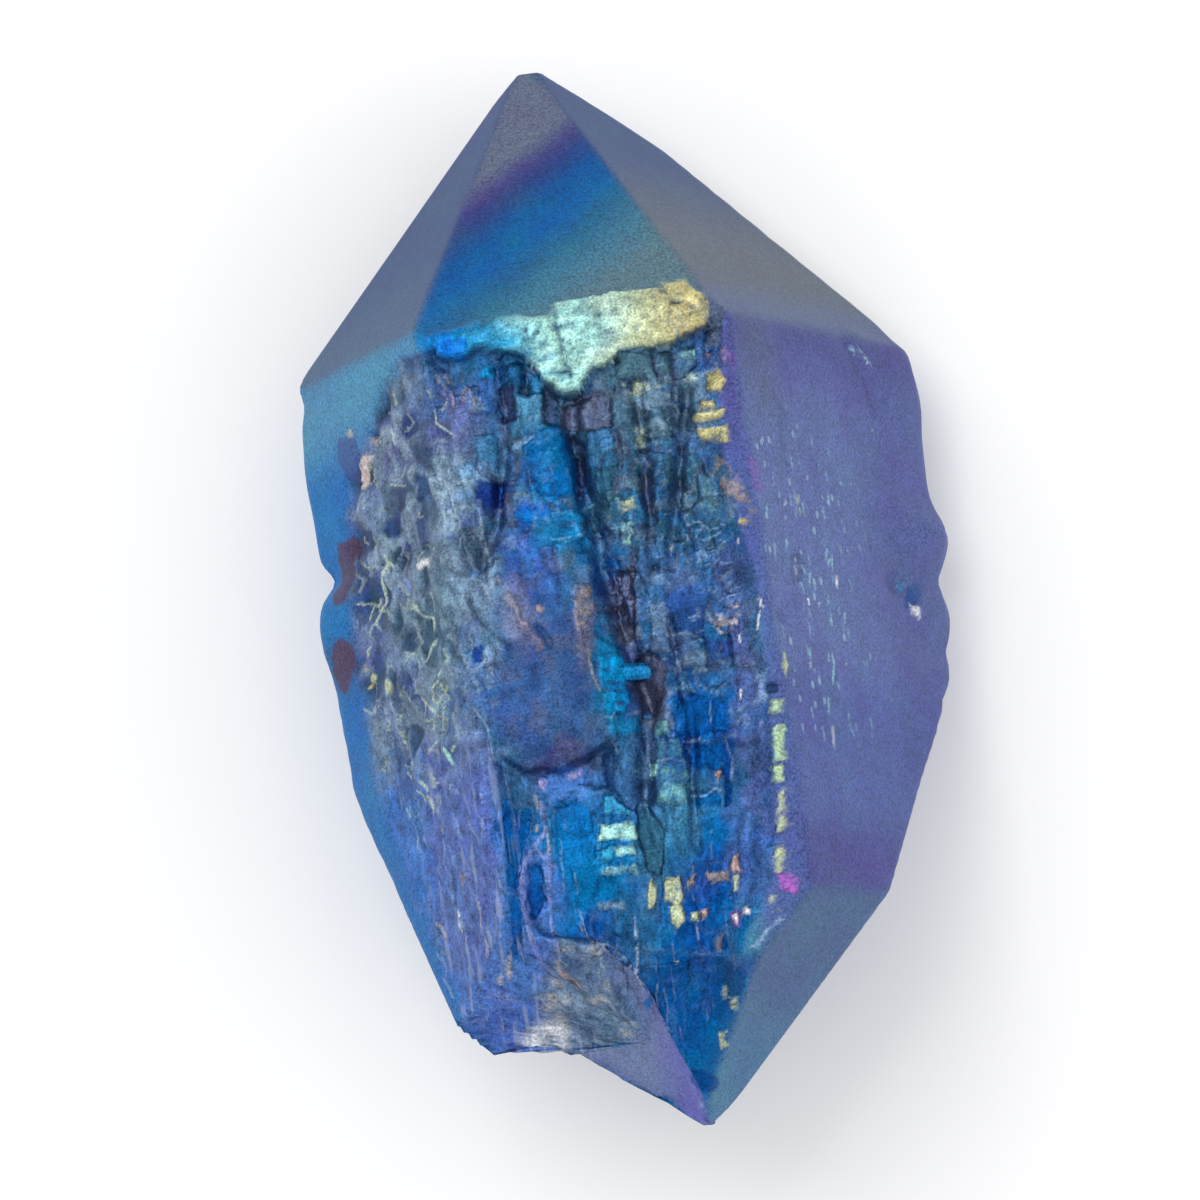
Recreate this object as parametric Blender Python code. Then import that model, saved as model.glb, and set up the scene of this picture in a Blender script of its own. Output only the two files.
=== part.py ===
"""Aura quartz point: one stubby quartz crystal, pointed at both ends, lying on a back face.

Units are metres in the finished object and millimetres in the dimensions below, +Z up.
The crystal's long axis runs along Y with its main tip at +Y.  The origin is on the
surface that the crystal lies on, under the middle of its outline.
"""
import math

import bmesh
import bpy
import numpy as np

MM = 0.001

# Quartz angles: six prism faces, 60 degrees apart, and tip faces that lean this far over
SIXTH = 60.0
LEAN = 38.2

# Crystal faces: the turn of the face about the long axis from the upper side, in degrees
# towards +X, the lean of its normal towards the main tip, in degrees, and its distance in
# mm from the reference point, which lies on the rest face near the middle of the crystal
BODY_FACES = {
    "upper prism": (0.0, 0.0, 12.30),
    "right prism": (SIXTH, 0.0, 10.10),
    "left prism": (-SIXTH, 0.0, 10.20),
    "lower right prism": (2 * SIXTH, 0.0, 7.60),
    "lower left prism": (-2 * SIXTH, 0.0, 5.00),
    "rest": (3 * SIXTH, 0.0, 0.0),
    "upper tip": (0.0, LEAN, 14.45),
    "right tip": (SIXTH, LEAN, 12.40),
    "left tip": (-SIXTH, LEAN, 12.95),
    "lower right tip": (2 * SIXTH, LEAN, 10.30),
    "lower left tip": (-2 * SIXTH, LEAN, 9.10),
    "under tip": (3 * SIXTH, LEAN, 6.90),
    "upper root": (0.0, -LEAN, 16.90),
    "right root": (59.0, -41.0, 14.25),
    "lower right root": (123.2, -38.6, 7.42),
    "lower left root": (-119.4, -27.6, 6.55),
}

# The root end has two parts side by side, each with faces of its own: the small pointed
# root tip, and the stump on its left, where the crystal broke off what it grew on
POINTED_FACES = {"left root": (-61.2, -37.7, 12.60), "under root": (3 * SIXTH, -34.4, 2.65)}
STUMP_FACES = {"break": (-14.4, -45.8, 16.35), "under break": (3 * SIXTH, -45.1, 3.32)}

# The line inside the crystal that the rings are drawn around, from end to end: x, y, z, mm
MAIN_TIP = (-0.60, 16.95, 4.90)
ROOT_TIP = (0.72, -16.20, 8.15)
HEART = (0.30, 0.0, 6.20)
ROOT_HEART = (-1.0, -13.0, 9.30)

# Edges are rounded by about this much, and more within a short way of the two tips, in mm
EDGE_ROUND = 0.07
TIP_ROUND = 0.16
TIP_WAY = 0.9

# Mesh spacing in mm along the crystal, around its sides and across its rest face
ROW_STEP = 0.21
UPPER_STEP = 0.21
UNDER_STEP = 0.32
MOST_TRIANGLES = 9300

# The bright ledge below the upper tip face, as y against x of its upper rim and its foot, mm
RIM_X = (-5.2, -4.3, -3.0, -1.1, -0.6, 0.55, 1.75, 2.95, 3.5, 3.9)
RIM_Y = (7.55, 7.8, 7.95, 7.9, 8.2, 8.25, 8.3, 8.4, 7.9, 7.4)
FOOT_X = (-5.2, -3.2, -2.0, -1.35, -0.95, -0.45, 0.1, 0.4, 0.9, 1.8, 3.0, 3.9)
FOOT_Y = (7.15, 7.15, 6.9, 6.4, 5.9, 5.4, 5.45, 6.0, 6.5, 6.5, 6.5, 6.75)

# The etched upper side: its left border on the left prism face, the shoulder between the
# two faces and its right border at the crystal's right upper edge, as x against y in mm
BORDER_Y = (-16.0, -14.2, -11.8, -9.6, -5.8, -2.9, -0.2, 3.1, 5.3, 7.2)
BORDER_LEFT = (-2.4, -4.6, -6.4, -7.0, -7.7, -8.1, -8.1, -7.85, -7.2, -5.7)
SHOULDER = (-0.6, -1.6, -3.2, -4.3, -4.7, -4.7, -4.75, -4.85, -4.9, -4.9)
BORDER_RIGHT = (0.6, 1.1, 2.2, 3.5, 4.05, 4.3, 4.25, 3.95, 4.1, 4.4)

# How deep the etched side lies below the crystal's faces, how much of that is left at the
# root end and where along the crystal it gets there, in mm
ETCH_DEPTH = 0.50
LEFT_ETCH_DEPTH = 0.16
ROOT_ETCH_SHARE = 0.3
ROOT_FADE = (-14.6, -12.2)

# How softly the etched side ends at the ledge, the shoulder and its outer borders, in mm
FOOT_BLUR = 0.11
SHOULDER_BLUR = 0.40
BORDER_BLUR = 0.20

# The heights between which the upper side begins, and the underside ends, in mm
UPPER_FROM = (5.5, 7.5)
UNDER_TO = (1.0, 2.5)

# Columns of stacked growth steps: where they part across the etched side, as shares of
# its width, the usual height of a step and how far steps stand out of line, in mm
COLUMN_EDGES = (0.0, 0.07, 0.16, 0.24, 0.33, 0.42, 0.48, 0.57, 0.63, 0.71, 0.81, 0.89, 1.0)
STEP_HEIGHT = 0.78
STEP_RISE = 0.30

# How far column edges wander, as a share of the width, and steps, as a share of their
# height, with the size of the waves in mm, and how far steps tip along and across
COLUMN_WANDER = (0.016, 1.3)
STEP_WANDER = (0.30, 1.1)
STEP_TIP = (0.7, 0.5)

# The steps are calmer on the lump, towards the root end and towards the left: the share
# taken off, and where along and across that begins and ends, in mm
LUMP_CALM = 0.8
ROOT_CALM = (0.35, -5.0, -7.5)
LEFT_CALM = (0.3, -1.5, -4.0)

# Gentle waves of the etched side, its flank and the ledge: height and size in mm
ETCH_WAVES = (0.10, 1.6)
FLANK_WAVES = ((0.09, 0.9), (0.07, 2.1))
LEDGE_WAVES = (0.07, 0.7)
LEDGE_RISE = 0.10

# Long grooves between the columns: x, y points in mm, half width and depth in mm
GROOVES = (
    (((-0.7, 5.6), (-0.85, 4.1), (-0.57, 2.2), (-0.5, 0.4), (-0.1, -2.0), (0.35, -3.9), (-0.2, -6.6)),
     0.30, 0.42),
    (((1.3, 5.6), (1.15, 2.9), (1.05, 0.2)), 0.20, 0.30),
    (((2.75, 5.2), (2.1, 2.5), (1.5, 0.1)), 0.20, 0.28),
    (((-2.7, 6.6), (-2.85, 4.1), (-3.4, 2.0), (-4.0, 0.9)), 0.22, 0.30),
    (((1.2, -1.5), (1.5, -4.3), (1.1, -8.2)), 0.18, 0.20),
)

# The smooth lump left of the middle, with the undercut step that ends it: mm
LUMP_CENTRE = (-2.6, -2.3)
LUMP_HALF = (1.75, 3.4)
LUMP_RISE = 0.55
STEP_X = (-4.9, -3.7, -2.5, -1.6, -1.1)
STEP_Y = (-4.8, -5.35, -5.5, -5.2, -4.9)
STEP_DROP = 0.50
STEP_REACH = (3.0, 0.5)
STEP_END_BLUR = 0.2
STEP_BLUR = 0.09

# Bulges (+) and nicks (-) of the side edges: side, y, half length and size in mm
SIDE_FORMS = (
    (-1, 7.5, 0.5, -0.16), (-1, 5.2, 0.9, 0.10), (-1, 1.95, 0.45, -0.42), (-1, 0.3, 1.1, 0.30),
    (-1, -3.9, 1.2, -0.10), (-1, -7.6, 0.7, -0.10), (1, 7.4, 0.5, -0.12), (1, 5.4, 1.5, 0.20),
    (1, 1.15, 0.85, 0.52), (1, -0.25, 0.3, -0.12), (1, -1.2, 0.6, 0.14), (1, -2.6, 0.4, -0.16),
    (1, -5.4, 1.2, 0.10),
)

# Height of the two side edges, and how far their forms reach up, down and inwards, in mm
EDGE_HEIGHT = {-1: 5.1, 1: 3.1}
EDGE_HALF = 1.6
EDGE_FROM = 4.0

# Pits in the right prism face: x, y, half size and depth in mm
PITS = ((8.75, -0.45, 0.38, 0.35), (8.2, 7.0, 0.28, 0.16), (4.9, -1.9, 0.22, 0.20))

# The hollow in the break, as x and z, and the size of the break's lumps, in mm
HOLLOW = (-3.6, 9.3)
HOLLOW_HALF = (1.5, 1.8)
HOLLOW_DEPTH = 0.30
BREAK_WAVES = ((0.20, 1.0), (0.12, 0.45))

# Relief fades out over this length at the two ends, in mm
END_FADE = 0.8
SEED = 7


def face_normal(turn, lean):
    """Outward normal of a crystal face."""
    turn = math.radians(turn)
    lean = math.radians(lean)
    return (math.cos(lean) * math.sin(turn), math.sin(lean), math.cos(lean) * math.cos(turn))


def face_list(*groups):
    """Normals and distances of the faces of one convex part of the crystal."""
    faces = [face for group in groups for face in group.values()]
    normals = np.array([face_normal(turn, lean) for turn, lean, reach in faces])
    return normals, np.array([reach for turn, lean, reach in faces])


def smooth(low, high, value):
    """Smooth rise from 0 at low to 1 at high."""
    t = np.clip((value - low) / (high - low), 0.0, 1.0)
    return t * t * (3.0 - 2.0 * t)


def chance(i, j, seed=0):
    """A fixed number from 0 to 1 for each pair of whole numbers."""
    wave = np.sin(i * 127.1 + j * 311.7 + (seed + SEED) * 74.7) * 43758.5453
    return wave - np.floor(wave)


def noise(x, y, size, seed=0):
    """Smooth noise from -1 to 1 with forms of about the given size."""
    u = x / size
    v = y / size
    i = np.floor(u)
    j = np.floor(v)
    fu = smooth(0.0, 1.0, u - i)
    fv = smooth(0.0, 1.0, v - j)
    low = chance(i, j, seed) * (1 - fu) + chance(i + 1, j, seed) * fu
    high = chance(i, j + 1, seed) * (1 - fu) + chance(i + 1, j + 1, seed) * fu
    return 2.0 * (low * (1 - fv) + high * fv) - 1.0


def path_distance(x, y, path):
    """Distance in plan from each point to a run of straight pieces."""
    best = np.full(x.shape, np.inf)
    for (ax, ay), (bx, by) in zip(path[:-1], path[1:]):
        dx = bx - ax
        dy = by - ay
        t = np.clip(((x - ax) * dx + (y - ay) * dy) / (dx * dx + dy * dy), 0.0, 1.0)
        best = np.minimum(best, np.hypot(x - ax - t * dx, y - ay - t * dy))
    return best


def ledge_cover(x, y):
    """1 on the bright ledge, 0 off it."""
    rim = np.interp(x, RIM_X, RIM_Y)
    foot = np.interp(x, FOOT_X, FOOT_Y)
    along = smooth(RIM_X[0] - 0.1, RIM_X[0] + 0.1, x) * smooth(RIM_X[-1] + 0.1, RIM_X[-1] - 0.1, x)
    return along * smooth(foot - 0.05, foot + 0.12, y) * smooth(rim + 0.12, rim - 0.05, y)


def etched_cover(x, y):
    """How far a point is inside the etched upper part and inside its left flank, 0 to 1."""
    foot = np.interp(x, FOOT_X, FOOT_Y)
    below = smooth(foot + FOOT_BLUR, foot - FOOT_BLUR, y)
    left = np.interp(y, BORDER_Y, BORDER_LEFT)
    shoulder = np.interp(y, BORDER_Y, SHOULDER)
    right = np.interp(y, BORDER_Y, BORDER_RIGHT)
    turned = smooth(shoulder - SHOULDER_BLUR, shoulder + SHOULDER_BLUR, x)
    upper = below * turned * smooth(right, right - 2 * BORDER_BLUR, x)
    flank = below * (1.0 - turned) * smooth(left, left + 2 * BORDER_BLUR, x)
    return upper, flank


def column_steps(x, y):
    """Height of the stacked growth steps: each step is a small tilted block of its own."""
    shoulder = np.interp(y, BORDER_Y, SHOULDER)
    right = np.interp(y, BORDER_Y, BORDER_RIGHT)
    share = np.clip((x - shoulder) / (right - shoulder), 0.0, 0.999)
    share = np.clip(share + COLUMN_WANDER[0] * noise(x, y, COLUMN_WANDER[1], 3), 0.0, 0.999)
    column = np.searchsorted(COLUMN_EDGES, share, side="right") - 1
    left_edge = np.take(COLUMN_EDGES, column)
    right_edge = np.take(COLUMN_EDGES, column + 1)
    across = (share - left_edge) / (right_edge - left_edge) - 0.5
    level = y / (STEP_HEIGHT * (0.7 + 0.6 * chance(column, 0, 11))) + 5.0 * chance(column, 1, 12)
    level = level + STEP_WANDER[0] * noise(y, column * 9.0, STEP_WANDER[1], 13)
    step = np.floor(level)
    along = level - step - 0.5
    rise = (chance(column, step, 14) - 0.5) + 0.5 * (chance(column, 0, 15) - 0.5)
    tip_over = STEP_TIP[0] * (chance(column, step, 16) - 0.5) * along
    side_tip = STEP_TIP[1] * (chance(column, step, 17) - 0.5) * across
    return STEP_RISE * (rise + tip_over + side_tip)


def up_to_edge(z):
    """1 on the upper sides, 0 on the underside, which stays flat where the crystal rests."""
    return smooth(UNDER_TO[0], UNDER_TO[1], z)


def waves(x, y, size, seed):
    """Gentle noise of a height and size given in mm."""
    return size[0] * noise(x, y, size[1], seed)


def lump_and_step(x, y):
    """How far a point is on the lump, above its undercut step and in the hollow past it."""
    across = (x - LUMP_CENTRE[0]) / LUMP_HALF[0]
    along = (y - LUMP_CENTRE[1]) / LUMP_HALF[1]
    lump = np.exp(-across ** 4 - along ** 4)
    line = np.interp(x, STEP_X, STEP_Y)
    above = smooth(line - STEP_BLUR, line + STEP_BLUR, y)
    past = (1.0 - above) * smooth(line - STEP_REACH[0], line - STEP_REACH[1], y)
    past = past * smooth(STEP_X[0] - STEP_END_BLUR, STEP_X[0] + STEP_END_BLUR, x)
    past = past * smooth(STEP_X[-1] + STEP_END_BLUR, STEP_X[-1] - STEP_END_BLUR, x)
    return lump, above, past


def relief(x, y, z):
    """Height in mm of the surface above the crystal's flat faces, at points on those faces."""
    up = smooth(UPPER_FROM[0], UPPER_FROM[1], z)
    fade = smooth(ROOT_FADE[0], ROOT_FADE[1], y)
    upper, flank = etched_cover(x, y)
    lump, above_step, past_step = lump_and_step(x, y)

    calm = 1.0 - LUMP_CALM * lump
    calm = calm - ROOT_CALM[0] * smooth(ROOT_CALM[1], ROOT_CALM[2], y)
    calm = calm - LEFT_CALM[0] * smooth(LEFT_CALM[1], LEFT_CALM[2], x)
    etched = -ETCH_DEPTH * (ROOT_ETCH_SHARE + (1.0 - ROOT_ETCH_SHARE) * fade)
    etched = etched + calm * fade * column_steps(x, y) + LUMP_RISE * lump * above_step
    etched = etched - STEP_DROP * past_step + waves(x, y, ETCH_WAVES, 21)
    for path, half_width, depth in GROOVES:
        etched = etched - depth * np.exp(-(path_distance(x, y, path) / half_width) ** 2)
    flank_form = -LEFT_ETCH_DEPTH + waves(x * 1.8, y, FLANK_WAVES[0], 31) + waves(x, y, FLANK_WAVES[1], 32)
    height = up * (upper * etched + flank * flank_form)
    height = height + up * ledge_cover(x, y) * (LEDGE_RISE + waves(x, y, LEDGE_WAVES, 41))

    for px, py, half, depth in PITS:
        near = np.exp(-(((x - px) ** 2 + (y - py) ** 2) / half ** 2))
        height = height - up_to_edge(z) * depth * near
    return height


def side_forms(x, y, z):
    """Bulges and nicks of the two side edges, in mm."""
    height = np.zeros(x.shape)
    for side, at, half, size in SIDE_FORMS:
        near = np.exp(-((y - at) / half) ** 2 - ((z - EDGE_HEIGHT[side]) / EDGE_HALF) ** 2)
        height = height + size * near * (np.sign(x) == side) * (np.abs(x) > EDGE_FROM)
    return height * up_to_edge(z)


def break_form(x, y, z, share):
    """Hollows and lumps of the broken foot, where share is how much of a point is on it."""
    across = (x - HOLLOW[0]) / HOLLOW_HALF[0]
    along = (z - HOLLOW[1]) / HOLLOW_HALF[1]
    rough = waves(x, z + 0.5 * y, BREAK_WAVES[0], 51) + waves(x, z, BREAK_WAVES[1], 52)
    return share * (rough - HOLLOW_DEPTH * np.exp(-across ** 2 - along ** 2))


def heart_line(y):
    """Points of the inner line at the given places along the crystal."""
    order = (ROOT_TIP, ROOT_HEART, HEART, MAIN_TIP)
    places = [point[1] for point in order]
    x = np.interp(y, places, [point[0] for point in order])
    z = np.interp(y, places, [point[2] for point in order])
    return x, z


def ring_angles():
    """Directions around the heart line, close together over the upper side."""
    fine = np.linspace(-math.pi, math.pi, 7201)[:-1]
    points = crystal_surface(np.array([HEART[1]]), fine)[0][0]
    x = points[:, 0]
    z = points[:, 2]
    length = np.hypot(np.diff(x, append=x[0]), np.diff(z, append=z[0]))
    step = np.where(z > 0.2, UPPER_STEP, UNDER_STEP)
    count = np.concatenate(([0.0], np.cumsum(length / step)))
    total = int(round(count[-1]))
    return np.interp(np.arange(total) * count[-1] / total, count[:-1], fine)


def convex_part(y, angle, faces):
    """Distance from the heart line to one convex part, and each face's share of the point."""
    normals, reach = faces
    cx, cz = heart_line(y)
    centre = np.stack([cx, y, cz], axis=-1)
    ray = np.stack([np.sin(angle), np.zeros(angle.shape), np.cos(angle)], axis=-1)
    facing = ray @ normals.T
    gap = reach - centre @ normals.T
    ahead = facing > 1e-4
    distance = np.where(ahead, gap[:, None, :] / np.where(ahead, facing, 1.0)[None], 1e6)
    nearest = distance.min(axis=2, keepdims=True)
    to_tip = np.minimum(MAIN_TIP[1] - y, y - ROOT_TIP[1])
    rounding = (EDGE_ROUND + TIP_ROUND * smooth(TIP_WAY, 0.0, to_tip))[:, None, None]
    weight = np.exp(-(distance - nearest) / rounding)
    total = weight.sum(axis=2, keepdims=True)
    inside = (gap > 0.0).all(axis=1)[:, None]
    radius = np.where(inside, (nearest - rounding * np.log(total))[..., 0], 0.0)
    return np.maximum(radius, 0.02), weight / total


def crystal_surface(y, angle):
    """Points of the rounded crystal on rings, their normals and their share of the break."""
    pointed = face_list(BODY_FACES, POINTED_FACES)
    stump = face_list(BODY_FACES, STUMP_FACES)
    radius, share = convex_part(y, angle, pointed)
    stump_radius, stump_share = convex_part(y, angle, stump)
    on_stump = smooth(-0.05, 0.05, stump_radius - radius)[..., None]
    normal = (share @ pointed[0]) * (1.0 - on_stump) + (stump_share @ stump[0]) * on_stump
    normal = normal / np.linalg.norm(normal, axis=2, keepdims=True)
    radius = np.maximum(radius, stump_radius)
    cx, cz = heart_line(y)
    x = cx[:, None] + radius * np.sin(angle)
    z = cz[:, None] + radius * np.cos(angle)
    points = np.stack([x, np.broadcast_to(y[:, None], x.shape), z], axis=-1)
    return points, normal, stump_share[..., len(BODY_FACES)] * on_stump[..., 0]


def shaped_surface(y, angle):
    """The crystal with its etched side, ledge, side forms and break."""
    points, normal, on_break = crystal_surface(y, angle)
    x, yy, z = points[..., 0], points[..., 1], points[..., 2]
    height = relief(x, yy, z) * (1.0 - on_break)
    height = height + side_forms(x, yy, z) + break_form(x, yy, z, on_break)
    to_tip = np.minimum(MAIN_TIP[1] - yy, yy - ROOT_TIP[1])
    ends = smooth(0.0, END_FADE, to_tip)
    return points + normal * (height * ends)[..., None]


def ring_rows():
    """Places of the rings along the crystal, closest together at the break and the tips."""
    fine = np.linspace(ROOT_TIP[1] + 0.03, MAIN_TIP[1] - 0.03, 4001)
    to_tip = np.minimum(MAIN_TIP[1] - fine, fine - ROOT_TIP[1])
    step = ROW_STEP * (1.0 - 0.6 * smooth(1.0, 0.0, to_tip))
    step = step * (1.0 - 0.5 * smooth(-15.0, -13.8, fine) * smooth(-9.5, -10.5, fine))
    count = np.concatenate(([0.0], np.cumsum(np.diff(fine) / step[:-1])))
    total = int(count[-1])
    return np.interp(np.arange(total + 1) * count[-1] / total, count, fine)


def crystal_mesh(name):
    """Closed mesh of the whole crystal, thinned where it is flat, at its final place."""
    rows = ring_rows()
    angles = ring_angles()
    points = shaped_surface(rows, angles)
    points[..., 2] = np.maximum(points[..., 2], 0.0)
    row_count, ring_count = points.shape[:2]
    body = bmesh.new()
    rings = [[body.verts.new(point * MM) for point in ring] for ring in points]
    for lower, upper in zip(rings[:-1], rings[1:]):
        for k in range(ring_count):
            after = (k + 1) % ring_count
            body.faces.new((lower[k], upper[k], upper[after], lower[after]))
    for ring, end, turn in ((rings[0], ROOT_TIP, 1), (rings[-1], MAIN_TIP, -1)):
        tip = body.verts.new([value * MM for value in end])
        for k in range(ring_count):
            corners = (tip, ring[k], ring[(k + 1) % ring_count])
            body.faces.new(corners[::turn])
    bmesh.ops.recalc_face_normals(body, faces=body.faces)
    bmesh.ops.triangulate(body, faces=body.faces)
    full = len(body.faces)
    mesh = bpy.data.meshes.new(name)
    body.to_mesh(mesh)
    body.free()
    return mesh, full


def thin_out(crystal, full):
    """Collapse the flat stretches, then set the rest face level and centre the outline."""
    thin = crystal.modifiers.new("thin out", "DECIMATE")
    thin.ratio = MOST_TRIANGLES / full
    thin.use_collapse_triangulate = True
    shape = bpy.context.evaluated_depsgraph_get()
    mesh = bpy.data.meshes.new_from_object(crystal.evaluated_get(shape))
    crystal.modifiers.clear()
    count = len(mesh.vertices)
    flat = np.empty(count * 3)
    mesh.vertices.foreach_get("co", flat)
    co = flat.reshape(count, 3)
    co[:, 2] = np.where(co[:, 2] < 0.02 * MM, 0.0, co[:, 2])
    co[:, :2] -= (co[:, :2].min(axis=0) + co[:, :2].max(axis=0)) / 2
    mesh.vertices.foreach_set("co", co.ravel())
    mesh.update()
    crystal.data = mesh


def coated_quartz():
    """Blue metal-coated quartz."""
    material = bpy.data.materials.new("aura_coated_quartz")
    material.use_nodes = True
    shader = material.node_tree.nodes["Principled BSDF"]
    shader.inputs["Base Color"].default_value = (0.05, 0.14, 0.32, 1.0)
    shader.inputs["Roughness"].default_value = 0.38
    shader.inputs["Metallic"].default_value = 0.6
    return material


def clear_scene():
    """Start from an empty scene."""
    for item in list(bpy.data.objects):
        bpy.data.objects.remove(item, do_unlink=True)


def main():
    """Make the crystal."""
    clear_scene()
    mesh, full = crystal_mesh("quartz_point")
    crystal = bpy.data.objects.new("quartz_point", mesh)
    bpy.context.collection.objects.link(crystal)
    thin_out(crystal, full)
    crystal.data.materials.append(coated_quartz())


main()
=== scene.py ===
"""Looks of the aura quartz point: coated quartz, etched into stepped columns on its upper side.

Lengths are in millimetres in the crystal's own frame until the mesh is made: X across,
Y along the crystal towards its main tip, Z up from the surface that it lies on.
"""
import functools
import math

import bmesh
import bpy
import numpy as np
from mathutils import Matrix, Vector


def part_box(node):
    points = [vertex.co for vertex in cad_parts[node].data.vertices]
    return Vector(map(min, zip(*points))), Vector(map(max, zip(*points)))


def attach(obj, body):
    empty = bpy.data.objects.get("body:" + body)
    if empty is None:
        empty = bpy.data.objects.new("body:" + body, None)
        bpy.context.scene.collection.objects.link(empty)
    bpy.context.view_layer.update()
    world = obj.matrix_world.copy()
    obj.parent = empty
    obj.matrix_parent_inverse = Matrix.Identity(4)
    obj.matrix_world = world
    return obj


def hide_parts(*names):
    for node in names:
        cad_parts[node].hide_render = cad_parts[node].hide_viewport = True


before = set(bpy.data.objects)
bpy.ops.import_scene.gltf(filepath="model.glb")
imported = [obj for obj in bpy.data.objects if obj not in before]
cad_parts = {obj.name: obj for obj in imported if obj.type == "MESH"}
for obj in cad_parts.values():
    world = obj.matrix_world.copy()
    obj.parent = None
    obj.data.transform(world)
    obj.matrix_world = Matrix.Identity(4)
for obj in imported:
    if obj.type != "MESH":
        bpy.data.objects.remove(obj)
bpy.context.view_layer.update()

MM = 0.001
NODE = "quartz_point"

# Quartz angles: six prism faces, 60 degrees apart, and tip faces that lean this far over
SIXTH = 60.0
LEAN = 38.2

# Crystal faces: turn about the long axis from the upper side and lean towards the main tip,
# in degrees, and distance from the reference point
BODY_FACES = {
    "upper prism": (0.0, 0.0, 12.30),
    "right prism": (SIXTH, 0.0, 10.10),
    "left prism": (-SIXTH, 0.0, 10.20),
    "lower right prism": (2 * SIXTH, 0.0, 7.60),
    "lower left prism": (-2 * SIXTH, 0.0, 5.00),
    "rest": (3 * SIXTH, 0.0, 0.0),
    "upper tip": (0.0, LEAN, 14.45),
    "right tip": (SIXTH, LEAN, 12.40),
    "left tip": (-SIXTH, LEAN, 12.95),
    "lower right tip": (2 * SIXTH, LEAN, 10.30),
    "lower left tip": (-2 * SIXTH, LEAN, 9.10),
    "under tip": (3 * SIXTH, LEAN, 6.90),
    "upper root": (0.0, -LEAN, 16.90),
    "right root": (59.0, -41.0, 14.25),
    "lower right root": (123.2, -38.6, 7.42),
    "lower left root": (-119.4, -27.6, 6.55),
}
POINTED_FACES = {"left root": (-61.2, -37.7, 12.60), "under root": (3 * SIXTH, -34.4, 2.65)}
STUMP_FACES = {"break": (-14.4, -45.8, 16.35), "under break": (3 * SIXTH, -45.1, 3.32)}

# The line inside the crystal that the rings are drawn around, from end to end
MAIN_TIP = (-0.60, 16.95, 4.90)
ROOT_TIP = (0.72, -16.20, 8.15)
HEART = (0.30, 0.0, 6.20)
ROOT_HEART = (-1.0, -13.0, 9.30)

# Edge rounding, and the wider rounding within a short way of each tip
EDGE_ROUND = 0.07
TIP_ROUND = 0.16
TIP_WAY = 0.9

# Mesh spacing: of the whole grid before its fine parts are split, and under the crystal
GRID_STEP = 0.212
UNDER_STEP = 0.60

# Faces are split once, and then again, this near to an edge of a form and above this height
FINE_NEAR = 0.12
FINE_FROM = 5.0
FINEST_NEAR = 0.035
FINEST_FROM = 4.0

# The rings stop this far from each tip, and the relief fades out over this way
END_GAP = 0.03
END_FADE = 0.8

# The photo's pixels: one near the crystal's middle, and the size of a pixel in mm, from the
# 1058 pixels that 32 mm of the crystal cover
PHOTO_MIDDLE = (624, 601)
PHOTO_SCALE = 32.0 / 1058

# Forms taken from the photo lie this far to the right, fitted later; they are placed at this
# depth in the upper prism face, no lower than this height, by this many closer guesses
FORMS_SHIFT = 0.30
FORMS_DEPTH = 0.40
FORMS_LOWEST = 3.0
FIRST_HEIGHT = 11.5
GUESSES = 8

# The bright ledge below the upper tip face: its rim and its foot from left to right, in the
# photo's pixels
RIM = (
    (425, 339), (434, 334), (458, 327.6), (482.7, 320.8), (512.5, 318), (547.7, 315.4), (553, 308.6),
    (561, 299), (583, 296.4), (604.6, 295), (621, 291), (642.6, 287.5), (658.8, 288.3),
    (667, 281.5), (683, 280), (699.5, 291), (710, 302),
)
FOOT = (
    (431, 350), (434, 346.5), (436.6, 354.7), (450, 360), (466, 357), (474.5, 349), (496, 349),
    (518, 352), (534, 362.8), (542, 379), (559, 393), (577.5, 392.6), (588, 373.6), (610, 360),
    (621, 349), (645, 346.5), (669.7, 345), (686, 335.7), (705, 326), (712, 316.7),
)

# Cracks through the ledge: route in the photo's pixels and half width in mm
LEDGE_CRACKS = (
    (((553, 308.6), (556, 322), (560, 344), (564, 360), (572, 376)), 0.07),
    (((561, 325), (577.5, 323.5)), 0.04),
    (((482.7, 323.5), (501.6, 331.6), (507, 337), (482.7, 346.5), (472, 346.5)), 0.04),
    (((515, 349), (537, 346.5), (550.4, 357.4)), 0.04),
    (((664, 288), (672.4, 303), (686, 302), (699.5, 310)), 0.05),
    (((545, 373.6), (569.4, 372)), 0.04),
    (((500, 322), (520, 330), (545, 334)), 0.03),
    (((625, 330), (640, 326), (650, 334)), 0.03),
    (((600, 312), (598, 322), (606, 330)), 0.02),
)

# The etched side's left border, the shoulder between its two faces and its right border:
# x against y
BORDER_Y = (-16.0, -14.2, -11.8, -9.6, -5.8, -2.9, -0.2, 3.1, 5.3, 7.2)
BORDER_LEFT = (-2.4, -4.6, -6.4, -7.0, -7.7, -8.1, -8.1, -7.85, -7.2, -5.7)
SHOULDER = (-0.6, -1.6, -3.2, -4.3, -4.7, -4.7, -4.75, -4.85, -4.9, -4.9)
BORDER_RIGHT = (0.6, 1.1, 2.2, 3.5, 4.05, 4.3, 4.25, 3.95, 4.1, 4.4)

# Depth of the etched upper side and of its left flank, and the y over which they fade out
# towards the root
ETCH_DEPTH = 0.50
LEFT_ETCH_DEPTH = 0.16
ROOT_FADE = (-14.6, -12.2)

# Heights, from none to all, over which the etching, its finish, its paint and the painted
# forms set in going up, and the underside ends
ETCH_HEIGHT = (5.5, 7.5)
FINISH_HEIGHT = (5.5, 7.0)
PAINT_HEIGHT = (4.6, 5.6)
FORMS_HEIGHT = (3.2, 4.6)
REST_HEIGHT = (1.0, 2.5)

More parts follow.
